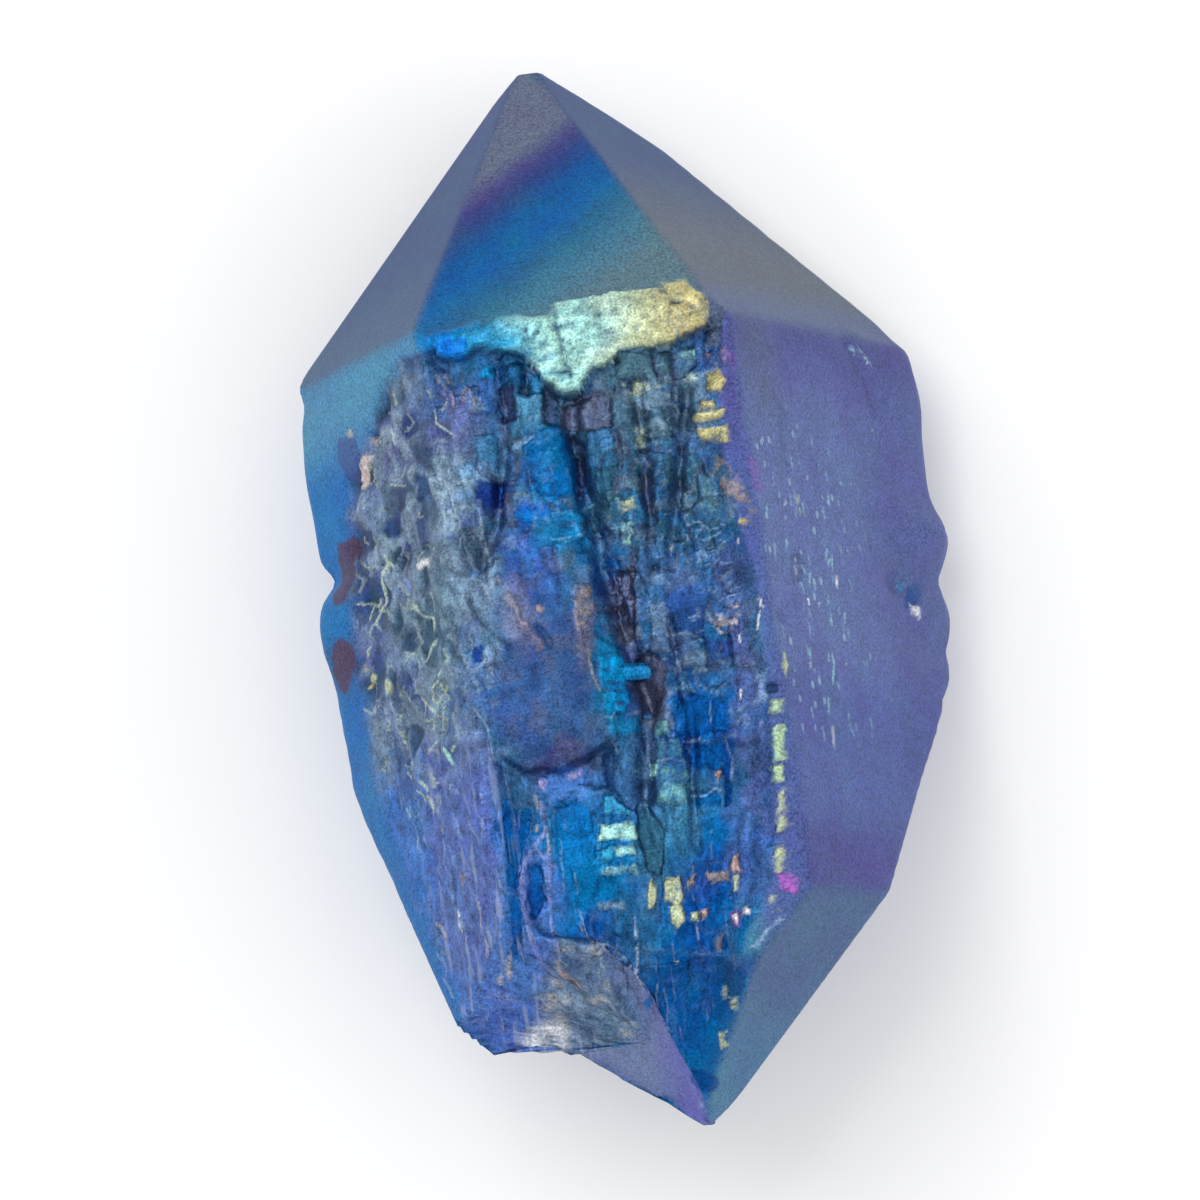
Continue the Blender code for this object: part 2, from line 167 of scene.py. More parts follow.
# Where the growth steps are calmer: on the lump, and by a share over a range of y towards
# the root and of x towards the flank
LUMP_CALM = 0.9
ROOT_CALM = (0.35, -5.0, -7.5)
FLANK_CALM = (0.3, -1.5, -4.0)

# Heights of the finer forms: seams, terraces, wide and fine swells, folds of the flank
SEAM_DEPTH = 0.03
TERRACE_RISE = 0.05
WIDE_SWELL = 0.10
FINE_SWELL = 0.05
FOLD_RISE = 0.10

# The edge between the etched side and its flank, worn round by this much
SHOULDER_EDGE = (-4.72, 12.3)
SHOULDER_SPREAD = 0.13
SHOULDER_WEAR = 0.30
SHOULDER_ENDS = ((-14.0, -12.0), (7.0, 5.5))

# Strokes with a half width below this are broken up along their length, in mm
THIN_STROKE = 0.055

# The hollow in the break, as x and z, in mm
HOLLOW = (-3.6, 9.3)
HOLLOW_HALF = (1.5, 1.8)
HOLLOW_DEPTH = 0.30

# Columns of stacked growth steps
COLUMN_EDGES = (0.0, 0.07, 0.16, 0.24, 0.33, 0.42, 0.48, 0.57, 0.63, 0.71, 0.81, 0.89, 1.0)
STEP_HEIGHT = 0.78
STEP_RISE = 0.30

# Long grooves between the columns: route before the shift of the forms, half width and depth
GROOVES = (
    (((-0.7, 5.6), (-0.85, 4.1), (-0.57, 2.2), (-0.5, 0.4), (-0.1, -2.0), (0.35, -3.9), (-0.2, -6.6)),
     0.30, 0.42),
    (((1.3, 5.6), (1.15, 2.9), (1.05, 0.2)), 0.20, 0.30),
    (((2.75, 5.2), (2.1, 2.5), (1.5, 0.1)), 0.20, 0.28),
    (((-2.7, 6.6), (-2.85, 4.1), (-3.4, 2.0), (-4.0, 0.9)), 0.22, 0.30),
    (((1.2, -1.5), (1.5, -4.3), (1.1, -8.2)), 0.18, 0.20),
)

# The smooth lump left of the middle and the undercut step that ends it
LUMP_CENTRE = (-2.3, -2.3)
LUMP_HALF = (1.75, 3.4)
LUMP_RISE = 0.55
STEP_X = (-4.0, -3.3, -2.2, -1.3, -0.8)
STEP_Y = (-4.8, -5.35, -5.5, -5.2, -4.9)
STEP_DROP = 0.40

# Bulges (+) and nicks (-) of the side edges: side, y, half length and size
SIDE_FORMS = (
    (-1, 7.5, 0.5, -0.16), (-1, 5.2, 0.9, 0.10), (-1, 1.95, 0.45, -0.42), (-1, 0.3, 1.1, 0.30),
    (-1, -3.9, 1.2, -0.10), (-1, -7.6, 0.7, -0.10), (1, 7.4, 0.5, -0.12), (1, 5.4, 1.5, 0.20),
    (1, 1.15, 0.85, 0.52), (1, -0.25, 0.3, -0.12), (1, -1.2, 0.6, 0.14), (1, -2.6, 0.4, -0.16),
    (1, -5.4, 1.2, 0.10),
)

# The side edges' heights on the left and the right, the reach of a bulge up and down, and
# the distance from the middle that bulges start at
EDGE_HEIGHT = {-1: 5.1, 1: 3.1}
EDGE_HALF = 1.6
EDGE_FROM = 4.0

# Pits in the right prism face: x, y, half size and depth
PITS = ((8.75, -0.45, 0.38, 0.35), (8.2, 7.0, 0.28, 0.16), (4.9, -1.9, 0.22, 0.20))

# Roughness of the break
ROUGH_BREAK = 0.20
SEED = 7

# Lines in plan as a point and the way across them: the start of the bands on the upper tip
# face, and the right and left borders of the grey part of the break
TIP_LINE = ((-3.14, 11.41), (0.562, -0.824))
BREAK_RIGHT = ((-0.59, -12.88), (0.67, -0.74))
BREAK_LEFT = ((-4.4, -13.4), (-0.89, 0.45))

# The pale patch on the break: x, y, half width and half length
BREAK_PALE = (-3.85, -13.25, 0.66, 0.40)

# Named colours of the coating, and of the painted highlight, glints and shade on it, as 0 to 255 screen
# values
COLOURS = {
    "arc": (84, 108, 146), "arch": (26, 84, 130), "arch light": (34, 108, 152), "azure": (0, 98, 160),
    "azure deep": (0, 84, 150), "blue violet": (54, 94, 172), "break": (96, 120, 150),
    "bright blue": (4, 108, 196), "bright white": (250, 246, 250), "brown": (84, 88, 114),
    "chevron": (172, 190, 178), "cobalt": (0, 86, 148), "cream": (176, 170, 166),
    "cyan": (0, 132, 186), "dark": (26, 56, 96), "dark brown": (60, 66, 100),
    "dark plum": (62, 66, 116), "dark teal": (42, 88, 114), "deep teal": (34, 66, 94),
    "deep window": (0, 64, 136), "denim": (52, 98, 146), "dusk": (80, 84, 136),
    "glitter": (176, 170, 176), "gold": (188, 180, 128), "grey teal": (72, 106, 124),
    "grey film": (90, 120, 134), "indigo": (40, 70, 128), "indigo blue": (42, 66, 150),
    "ladder": (12, 108, 160), "lake": (70, 122, 188), "lavender": (84, 106, 170),
    "lavender light": (122, 134, 188), "left blue": (44, 110, 172), "left low": (72, 110, 182),
    "lump": (50, 80, 134), "magenta": (128, 92, 176), "mauve": (98, 108, 132), "mint": (160, 212, 204),
    "mint gold": (170, 196, 158), "mint green": (96, 148, 152), "mint speck": (140, 186, 200),
    "navy": (22, 56, 126), "navy slate": (26, 62, 108), "ochre": (142, 130, 128),
    "orange": (164, 140, 132), "pale cyan": (52, 146, 186), "pale gold": (180, 190, 152),
    "pale line": (132, 158, 190), "pale mint": (176, 208, 192), "pale slate": (134, 158, 178),
    "peach": (204, 190, 188), "pink": (168, 92, 182), "pink gold": (168, 134, 150),
    "pink white": (176, 160, 206), "pit blue": (22, 72, 140), "plum": (66, 68, 128),
    "plum dark": (60, 60, 108), "purple facet": (104, 120, 162), "purple low": (94, 96, 172),
    "right high": (78, 82, 142), "right middle": (94, 110, 162), "right low": (84, 100, 158),
    "right root": (76, 102, 142), "right root low": (74, 118, 154), "right tip": (93, 104, 119),
    "rust": (84, 62, 86), "sea": (18, 118, 174), "sea green": (58, 116, 146), "sky": (10, 122, 200),
    "slate": (104, 130, 154), "slate grey": (86, 100, 124), "steel": (58, 82, 126),
    "strip": (30, 112, 176), "strip high": (78, 138, 176), "teal": (62, 118, 146),
    "teal wash": (36, 100, 140), "violet strip": (76, 94, 152), "white": (214, 216, 222),
    "window": (0, 80, 150),
}

# Camera: it looks down on the crystal from a little towards its root end, turned by the
# crystal's lean in the picture; a long lens at this distance, in mm
CAMERA_TURN = 8.0
CAMERA_HEIGHT = 82.0
CAMERA_DISTANCE = 180.0
AIM = (0.0, 0.0, 6.0)
FRAME_WIDTH = 36.52
AIM_OFFSET = (-0.40, 0.10)
SENSOR = 36.0
CLIP_START = 0.001

# Lights: name, place, size in metres and power in watts; and the point that they face
LIGHTS = (("key", (-0.10, 0.12, 0.27), 0.18, 0.30), ("fill", (0.20, -0.10, 0.20), 0.20, 0.10))
LIGHT_AIM = (0.0, 0.0, 0.006)
WORLD_STRENGTH = 0.92
FLOOR_HALF = 0.6
FLOOR_WHITE = (0.90, 0.90, 0.90, 1.0)
FLOOR_ROUGHNESS = 0.9

# Fine patterns of the coating: how often each repeats in a mm across, along and up
MOTTLE_SCALE = (4.2, 2.6, 2.6)
DASH_SCALE = (4.2, 1.7, 0.6)
STREAK_SCALE = (5.0, 0.55, 0.8)
SPECK_SCALE = (13.0, 13.0, 13.0)
DRIFT_SCALE = (0.8, 0.5, 0.5)
RIPPLE_SCALE = (1.6, 6.0, 1.6)

# How much they change the coating's tone, hue and roughness, and the colours painted on
SPECK_TONE = 2.2
SPECK_ROUGHNESS = 0.3
MOTTLE_TONE = (1.2, 0.25)
HUE_DRIFT = 0.05
STREAK_PAINT = (0.55, (0.30, 0.36, 0.55, 1.0))
DASH_PAINT = (0.7, (0.30, 0.45, 0.58, 1.0))
GLOSS = 0.3

# Height of each pattern in the bump, and the strength and depth in mm of the bump
SPECK_BUMP = 0.5
RIPPLE_BUMP = 0.5
MOTTLE_BUMP = 1.2
DASH_BUMP = -0.8
STREAK_BUMP = 0.4
BUMP_STRENGTH = 0.5
BUMP_DEPTH = 0.06

# Soft patches of colour, painted in this order: middle, half width and half length in the
# photo's pixels, colour and strength. The brown patches under the brown hollows and grooves,
# the dark patch in its hollow and the plum dark patch along the undercut step below the lump
# are painted shade
SOFT_PATCHES = (
    (560, 480, 60, 110, "teal", 0.7), (440, 520, 55, 120, "slate", 0.85),
    (440, 495, 24, 60, "pale slate", 0.8), (452, 565, 45, 55, "slate", 0.6),
    (430, 415, 48, 40, "dusk", 0.8), (400, 480, 30, 50, "dusk", 0.5),
    (400, 537, 26, 22, "deep teal", 0.85), (468, 548, 14, 34, "deep teal", 0.7),
    (415, 640, 30, 40, "deep teal", 0.45), (530, 560, 26, 50, "indigo blue", 0.75),
    (490, 492, 18, 18, "navy", 0.7), (530, 420, 20, 40, "teal", 0.7), (553, 468, 32, 50, "azure", 0.95),
    (565, 527, 30, 28, "sea", 0.9), (600, 562, 26, 34, "azure", 0.85),
    (525, 515, 17, 11, "bright blue", 0.85), (650, 395, 55, 52, "grey teal", 0.85),
    (690, 480, 30, 34, "grey teal", 0.85), (645, 500, 40, 50, "dark teal", 0.8),
    (700, 545, 30, 34, "dark teal", 0.6), (655, 575, 45, 40, "denim", 0.7),
    (705, 590, 26, 40, "denim", 0.7), (690, 640, 50, 36, "navy slate", 0.75),
    (640, 560, 12, 26, "brown", 0.6), (700, 722, 42, 48, "window", 0.9), (545, 690, 56, 80, "lump", 0.9),
    (485, 620, 25, 50, "slate", 0.6), (562, 760, 34, 18, "plum dark", 0.85),
    (625, 605, 13, 45, "brown", 0.8), (652, 690, 16, 36, "brown", 0.85),
    (612, 680, 17, 54, "ladder", 0.95), (583, 625, 12, 42, "ochre", 0.45),
    (520, 612, 12, 44, "ochre", 0.3), (563, 782, 34, 17, "lake", 0.85), (582, 862, 38, 62, "azure", 0.8),
    (450, 800, 48, 80, "lavender", 0.75), (462, 880, 34, 90, "lavender", 0.8),
    (405, 830, 26, 90, "lake", 0.6), (415, 920, 30, 70, "lake", 0.5),
    (395, 700, 30, 60, "violet strip", 0.5), (430, 560, 16, 16, "deep teal", 0.4),
    (512, 850, 16, 50, "window", 0.9), (515, 930, 10, 45, "window", 0.7),
    (540, 890, 22, 44, "lavender", 0.5), (672, 830, 32, 50, "sea green", 0.75),
    (650, 850, 16, 44, "dark teal", 0.7), (605, 950, 38, 42, "deep window", 0.95),
    (690, 1000, 44, 50, "azure deep", 0.95), (640, 930, 26, 40, "dark teal", 0.55),
    (700, 900, 40, 50, "deep window", 0.75), (740, 972, 14, 22, "dark", 0.6),
    (752, 740, 15, 100, "violet strip", 0.85), (745, 860, 20, 50, "violet strip", 0.55),
    (735, 600, 16, 60, "violet strip", 0.7), (700, 950, 28, 30, "deep window", 0.6),
)

# Plates and hollows: colour, strength, share that is speckled away, rise in mm and corners in
# the photo's pixels. The gold, pale gold, mint gold and mint plates are the coating's colour
# made brighter as painted highlight where steps catch the light; the white, bright white and
# pink white ones are painted glints; the sunk brown, dark brown and dark ones are painted shade
# in hollows
PLATES = (
    ("bright blue", 0.9, 0.3, 0.03, ((434, 338), (466, 338), (466, 358), (450, 360), (437, 354))),
    ("sea", 0.8, 0.3, 0.0, ((413, 334), (426, 333), (424, 350), (415, 351))),
    ("cyan", 0.8, 0.3, 0.03, ((482, 364), (495, 362), (495, 376), (480, 374))),
    ("cream", 0.45, 0.7, 0.03, ((425, 372), (446, 368), (452, 390), (446, 398), (432, 388))),
    ("ochre", 0.5, 0.7, 0.03, ((459, 382), (476, 384), (477, 400), (468, 411), (460, 398))),
    ("dark brown", 0.75, 0.2, -0.18, ((501, 380), (512, 378), (516, 418), (504, 420))),
    ("dark brown", 0.7, 0.2, -0.2, ((541, 386), (552, 383), (560, 400), (556, 424), (545, 420))),
    ("brown", 0.8, 0.2, -0.1, ((560, 398), (600, 388), (611, 396), (611, 424), (585, 430), (560, 424))),
    ("arch", 0.85, 0.1, 0.12, ((497, 356), (506, 350), (520, 353), (526, 366), (524, 384), (498, 384))),
    ("arch light", 0.8, 0.1, 0.08, ((527, 368), (540, 372), (545, 392), (528, 395))),
    ("azure", 0.85, 0.25, 0.12, ((524, 446), (540, 428), (553, 420), (566, 430), (577, 446),
     (576, 495), (540, 495), (527, 458))),
    ("dark brown", 0.75, 0.2, -0.22, ((566, 430), (576, 436), (587, 440), (586, 480), (578, 495),
     (576, 455))),
    ("denim", 0.85, 0.1, 0.1, ((587, 428), (614, 426), (616, 463), (600, 466), (586, 464))),
    ("dark teal", 0.6, 0.2, 0.02, ((587, 468), (614, 466), (614, 512), (596, 520), (588, 500))),
    ("navy", 0.95, 0.1, -0.05, ((474, 478), (504, 480), (503, 504), (476, 504))),
    ("sea", 0.8, 0.3, 0.05, ((551, 510), (585, 507), (588, 518), (552, 524))),
    ("sea", 0.7, 0.3, 0.05, ((550, 528), (588, 524), (586, 538), (551, 542))),
    ("pale cyan", 0.6, 0.3, 0.05, ((582, 502), (592, 500), (592, 512), (584, 512))),
    ("grey teal", 0.95, 0.1, 0.12, ((617, 352), (650, 349), (657, 376), (616, 378))),
    ("grey teal", 0.95, 0.1, 0.1, ((658, 350), (670, 349), (673, 372), (661, 374))),
    ("pale gold", 0.75, 0.65, 0.06, ((615, 380), (657, 378), (658, 391), (616, 392))),
    ("mint", 0.6, 0.5, 0.05, ((681, 345), (694, 345), (694, 355), (681, 355))),
    ("pale gold", 0.4, 0.6, 0.04, ((686, 368), (697, 368), (697, 376), (686, 376))),
    ("slate grey", 0.85, 0.1, 0.05, ((712, 302), (724, 306), (722, 345), (708, 345), (706, 328))),
    ("pink gold", 0.6, 0.6, 0.04, ((704, 350), (730, 350), (732, 366), (706, 366))),
    ("gold", 0.95, 0.35, 0.1, ((706, 370), (722, 369), (727, 380), (722, 391), (709, 389))),
    ("gold", 0.9, 0.3, 0.08, ((703, 400), (714, 399), (716, 408), (701, 408))),
    ("gold", 0.9, 0.3, 0.08, ((695, 411), (726, 409), (724, 417), (696, 420))),
    ("gold", 0.95, 0.4, 0.1, ((696, 427), (729, 425), (728, 441), (703, 442))),
    ("ochre", 0.85, 0.6, 0.05, ((712, 455), (724, 458), (748, 482), (752, 502), (740, 504), (722, 490),
     (709, 468))),
    ("ochre", 0.7, 0.7, 0.05, ((737, 508), (755, 510), (752, 528), (739, 526))),
    ("gold", 0.7, 0.7, 0.05, ((738, 512), (746, 512), (745, 526), (739, 524))),
    ("magenta", 0.5, 0.3, 0.0, ((728, 350), (738, 352), (738, 366), (730, 366))),
    ("magenta", 0.5, 0.3, 0.0, ((748, 458), (760, 462), (766, 490), (756, 488))),
    ("grey teal", 0.8, 0.2, 0.08, ((690, 462), (703, 458), (714, 484), (712, 500), (694, 490))),
    ("pale gold", 0.6, 0.5, 0.05, ((636, 425), (646, 425), (645, 446), (637, 446))),
    ("pale gold", 0.85, 0.4, 0.07, ((622, 500), (634, 497), (635, 506), (624, 510))),
    ("mint", 0.8, 0.5, 0.07, ((622, 520), (632, 519), (632, 543), (622, 544))),
    ("pale gold", 0.6, 0.7, 0.05, ((671, 538), (684, 540), (685, 555), (672, 553))),
    ("mint", 0.6, 0.6, 0.05, ((609, 492), (618, 491), (618, 497), (609, 498))),
    ("pale gold", 0.4, 0.7, 0.04, ((663, 470), (675, 470), (675, 482), (663, 484))),
    ("denim", 0.8, 0.3, 0.08, ((640, 545), (656, 540), (658, 560), (645, 579), (636, 578))),
    ("denim", 0.8, 0.3, 0.06, ((697, 562), (712, 560), (714, 590), (699, 590))),
    ("navy", 0.95, 0.1, -0.05, ((469, 648), (480, 646), (482, 662), (470, 664))),
    ("white", 0.95, 0.1, 0.05, ((412, 566), (424, 560), (427, 565), (416, 573))),
    ("ochre", 0.6, 0.5, 0.05, ((576, 582), (590, 584), (592, 612), (580, 640), (574, 610))),
    ("orange", 0.8, 0.3, 0.05, ((583, 586), (588, 588), (586, 594), (582, 592))),
    ("orange", 0.8, 0.2, 0.04, ((537, 606), (543, 606), (543, 612), (537, 612))),
    ("cyan", 0.85, 0.25, 0.06, ((600, 658), (622, 656), (624, 667), (600, 668))),
    ("cyan", 0.9, 0.25, 0.06, ((601, 671), (625, 670), (626, 680), (602, 681))),
    ("ladder", 0.9, 0.2, 0.04, ((602, 684), (626, 683), (627, 690), (603, 691))),
    ("cyan", 0.95, 0.25, 0.06, ((603, 693), (627, 691), (628, 701), (604, 702))),
    ("cyan", 0.8, 0.25, 0.05, ((605, 705), (627, 704), (627, 712), (606, 713))),
    ("ladder", 0.8, 0.2, 0.04, ((598, 636), (614, 633), (618, 650), (599, 652))),
    ("ladder", 0.8, 0.2, 0.04, ((608, 718), (640, 716), (640, 732), (610, 734))),
    ("brown", 0.85, 0.1, -0.15, ((634, 658), (650, 650), (668, 662), (664, 690), (655, 714),
     (645, 700), (637, 680))),
    ("brown", 0.7, 0.1, -0.2, ((616, 572), (630, 572), (636, 600), (634, 640), (624, 640), (618, 610))),
    ("mint green", 0.85, 0.4, 0.08, ((655, 722), (669, 720), (670, 735), (655, 735))),
    ("sea green", 0.9, 0.4, 0.08, ((656, 740), (680, 738), (682, 757), (657, 758))),
    ("mint green", 0.8, 0.6, 0.08, ((654, 764), (688, 762), (692, 785), (688, 804), (656, 804))),
    ("mint", 0.8, 0.3, 0.05, ((650, 764), (656, 763), (656, 775), (651, 775))),
    ("window", 0.95, 0.1, -0.08, ((677, 700), (700, 695), (710, 697), (710, 733), (676, 736))),
    ("window", 0.95, 0.1, -0.06, ((713, 697), (728, 705), (729, 728), (714, 733))),
    ("window", 0.95, 0.1, -0.06, ((690, 746), (722, 744), (724, 768), (692, 770))),
    ("window", 0.95, 0.1, -0.06, ((694, 793), (712, 790), (722, 798), (720, 805), (696, 805))),
    ("deep window", 0.95, 0.1, -0.1, ((724, 745), (732, 742), (733, 800), (726, 812))),
    ("glitter", 0.8, 0.6, 0.08, ((706, 624), (724, 606), (740, 600), (742, 615), (736, 630),
     (722, 632))),
    ("arc", 0.6, 0.2, 0.06, ((650, 636), (668, 630), (690, 632), (703, 645), (700, 655), (652, 652))),
    ("teal", 0.8, 0.4, 0.05, ((672, 690), (684, 669), (695, 690))),
    ("orange", 0.9, 0.2, 0.05, ((715, 772), (721, 771), (721, 781), (716, 782))),
    ("dark", 0.9, 0.0, -0.15, ((766, 686), (772, 683), (781, 686), (778, 694), (769, 695))),
    ("pale gold", 0.9, 0.2, 0.05, ((783, 652), (786, 652), (789, 663), (786, 676), (783, 668))),
    ("mint gold", 0.95, 0.3, 0.1, ((772, 702), (783, 701), (783, 715), (773, 716))),
    ("mint gold", 0.95, 0.25, 0.1, ((773, 728), (784, 724), (787, 740), (786, 762), (775, 763),
     (772, 745))),
    ("cyan", 0.6, 0.2, 0.0, ((772, 735), (776, 735), (777, 762), (773, 760))),
    ("mint gold", 0.95, 0.25, 0.1, ((774, 768), (785, 766), (785, 783), (776, 785))),
    ("pale gold", 0.9, 0.4, 0.08, ((779, 792), (785, 790), (786, 812), (780, 814))),
    ("pale gold", 0.95, 0.3, 0.08, ((778, 818), (786, 815), (788, 832), (779, 834))),
    ("pale gold", 0.9, 0.4, 0.08, ((776, 848), (786, 845), (787, 860), (782, 875), (774, 872))),
    ("pink", 0.85, 0.4, 0.05, ((779, 876), (796, 874), (802, 884), (798, 895), (782, 893))),
    ("pale gold", 0.8, 0.6, 0.06, ((772, 898), (781, 897), (780, 912), (773, 920))),
    ("lake", 0.9, 0.1, 0.05, ((540, 776), (560, 770), (588, 766), (580, 785), (560, 800), (545, 800))),
    ("pink white", 0.7, 0.3, 0.0, ((566, 774), (582, 768), (582, 774), (568, 780))),
    ("pink white", 0.7, 0.3, 0.0, ((538, 780), (545, 780), (545, 790), (540, 790))),
    ("window", 0.95, 0.1, -0.12, ((500, 822), (508, 810), (528, 806), (530, 822), (523, 850),
     (516, 890), (505, 888), (504, 850))),
    ("window", 0.95, 0.1, -0.1, ((508, 896), (518, 898), (522, 925), (520, 965), (511, 968))),
    ("window", 0.95, 0.1, -0.08, ((527, 868), (541, 862), (544, 900), (532, 925), (528, 900))),
    ("azure", 0.85, 0.2, -0.04, ((556, 800), (570, 798), (590, 806), (596, 850), (596, 900),
     (570, 902), (556, 860))),
    ("pale cyan", 0.9, 0.25, 0.08, ((602, 812), (605, 796), (614, 794), (630, 812), (628, 815))),
    ("mint", 0.95, 0.25, 0.08, ((600, 824), (634, 823), (636, 838), (600, 840))),
    ("pale cyan", 0.85, 0.3, 0.06, ((601, 848), (613, 847), (613, 860), (602, 859))),
    ("mint", 0.8, 0.5, 0.06, ((616, 846), (634, 844), (634, 854), (616, 856))),
    ("mint", 0.4, 0.4, 0.05, ((604, 868), (636, 866), (637, 874), (602, 876))),
    ("slate", 0.7, 0.2, 0.05, ((597, 903), (625, 901), (625, 910), (598, 911))),
    ("dark teal", 0.8, 0.1, -0.15, ((637, 806), (648, 804), (664, 830), (662, 875), (648, 874),
     (640, 840))),
    ("pale gold", 0.95, 0.2, 0.1, ((648, 884), (652, 879), (657, 888), (656, 908), (649, 910))),
    ("pale gold", 0.9, 0.4, 0.1, ((666, 882), (680, 877), (684, 900), (678, 905), (665, 903))),
    ("pale gold", 0.9, 0.3, 0.1, ((670, 906), (682, 904), (685, 922), (678, 930), (671, 925))),
    ("ochre", 0.9, 0.2, 0.08, ((687, 880), (695, 875), (696, 882), (688, 888))),
    ("ochre", 0.8, 0.2, 0.06, ((704, 873), (730, 871), (730, 880), (712, 882))),
    ("orange", 0.9, 0.2, 0.1, ((732, 855), (741, 854), (740, 871), (731, 871))),
    ("pale gold", 0.85, 0.2, 0.06, ((734, 877), (739, 876), (739, 890), (735, 891))),
    ("pale gold", 0.95, 0.1, 0.1, ((690, 913), (700, 912), (700, 923), (691, 922))),
    ("orange", 0.9, 0.2, 0.1, ((701, 911), (708, 909), (709, 919), (702, 922))),
    ("pink", 0.9, 0.0, 0.08, ((730, 914), (737, 910), (743, 916), (740, 927), (733, 925))),
    ("bright white", 1.0, 0.0, 0.14, ((731, 915), (738, 913), (741, 920), (738, 926), (733, 922))),
    ("bright white", 1.0, 0.0, 0.14, ((743, 908), (748, 906), (750, 912), (746, 918), (743, 915))),
    ("pale cyan", 0.9, 0.0, 0.08, ((754, 908), (758, 911), (759, 916), (756, 915))),
    ("ochre", 0.7, 0.3, 0.05, ((716, 938), (724, 936), (722, 956), (718, 950))),
    ("orange", 0.6, 0.4, 0.03, ((578, 922), (582, 921), (583, 935), (580, 936))),
    ("orange", 0.6, 0.5, 0.04, ((553, 946), (558, 944), (562, 966), (574, 982), (583, 995), (572, 992),
     (560, 976))),
    ("ochre", 0.55, 0.6, 0.03, ((566, 985), (580, 984), (586, 996), (575, 999))),
    ("cream", 0.8, 0.5, 0.04, ((633, 975), (638, 974), (638, 994), (634, 995))),
    ("pale gold", 0.8, 0.4, 0.05, ((675, 963), (680, 965), (679, 972), (676, 970))),
    ("cream", 0.85, 0.3, 0.05, ((506, 962), (509, 961), (510, 987), (507, 987))),
    ("cream", 0.7, 0.4, 0.05, ((496, 980), (501, 980), (502, 988), (497, 989))),
    ("ochre", 0.6, 0.4, 0.03, ((456, 876), (460, 878), (459, 892), (456, 890))),
    ("white", 0.85, 0.2, 0.05, ((456, 914), (459, 916), (465, 940), (461, 942))),
    ("cream", 0.7, 0.2, 0.03, ((437, 926), (440, 928), (445, 940), (442, 940))),
    ("dark", 0.5, 0.2, -0.04, ((730, 970), (744, 968), (744, 990), (732, 1015), (727, 1000))),
    ("pale gold", 0.9, 0.4, 0.05, ((725, 993), (729, 992), (729, 1002), (726, 1003))),
    ("pale gold", 0.95, 0.4, 0.06, ((732, 1000), (739, 998), (738, 1013), (733, 1010))),
    ("pale gold", 0.8, 0.6, 0.05, ((718, 1034), (728, 1032), (730, 1046), (722, 1052))),
    ("azure", 0.9, 0.1, 0.0, ((638, 1014), (643, 1009), (647, 1014), (642, 1020))),
    ("deep window", 0.95, 0.1, -0.03, ((688, 1084), (693, 1077), (704, 1074), (716, 1077), (720, 1086),
     (714, 1093), (702, 1097), (692, 1092))),
    ("pale slate", 0.6, 0.5, 0.03, ((696, 1102), (702, 1099), (705, 1108), (699, 1113))),
    ("rust", 0.85, 0.1, 0.0, ((338, 547), (351, 536), (356, 552), (351, 571), (346, 603), (338, 606),
     (332, 594), (336, 571))),
    ("rust", 0.85, 0.1, 0.0, ((346, 639), (355, 644), (357, 665), (351, 688), (345, 696), (338, 679),
     (337, 660), (341, 644))),
    ("plum", 0.6, 0.2, 0.0, ((338, 440), (352, 434), (360, 450), (358, 486), (346, 480), (340, 462))),
    ("peach", 0.9, 0.3, 0.05, ((361, 456), (371, 456), (368, 470), (364, 490), (358, 490), (358, 470))),
    ("cream", 0.7, 0.6, 0.03, ((346, 432), (352, 431), (353, 438), (347, 438))),
    ("cream", 0.7, 0.6, 0.03, ((366, 438), (374, 438), (374, 445), (367, 444))),
    ("pale gold", 0.8, 0.4, 0.04, ((368, 672), (374, 678), (373, 688), (367, 684))),
    ("pale gold", 0.8, 0.2, 0.04, ((387, 680), (391, 684), (390, 694), (387, 692))),
    ("mint speck", 0.7, 0.6, 0.04, ((851, 335), (858, 336), (868, 350), (871, 358), (866, 357),
     (856, 350))),
    ("white", 0.8, 0.1, 0.03, ((868, 354), (871, 356), (871, 359), (868, 358))),
    ("pit blue", 0.85, 0.2, -0.05, ((905, 598), (914, 584), (926, 574), (932, 576), (926, 592),
     (918, 602), (908, 608))),
    ("white", 0.9, 0.1, 0.05, ((914, 603), (920, 603), (921, 615), (915, 614))),
    ("pale cyan", 0.7, 0.3, 0.0, ((906, 580), (912, 578), (912, 584), (907, 586))),
    ("mint gold", 0.6, 0.5, 0.02, ((797, 490), (801, 491), (802, 511), (798, 510))),
    ("dark brown", 0.55, 0.4, -0.03, ((792, 552), (800, 548), (806, 560), (804, 578), (796, 580),
     (791, 566))),
)
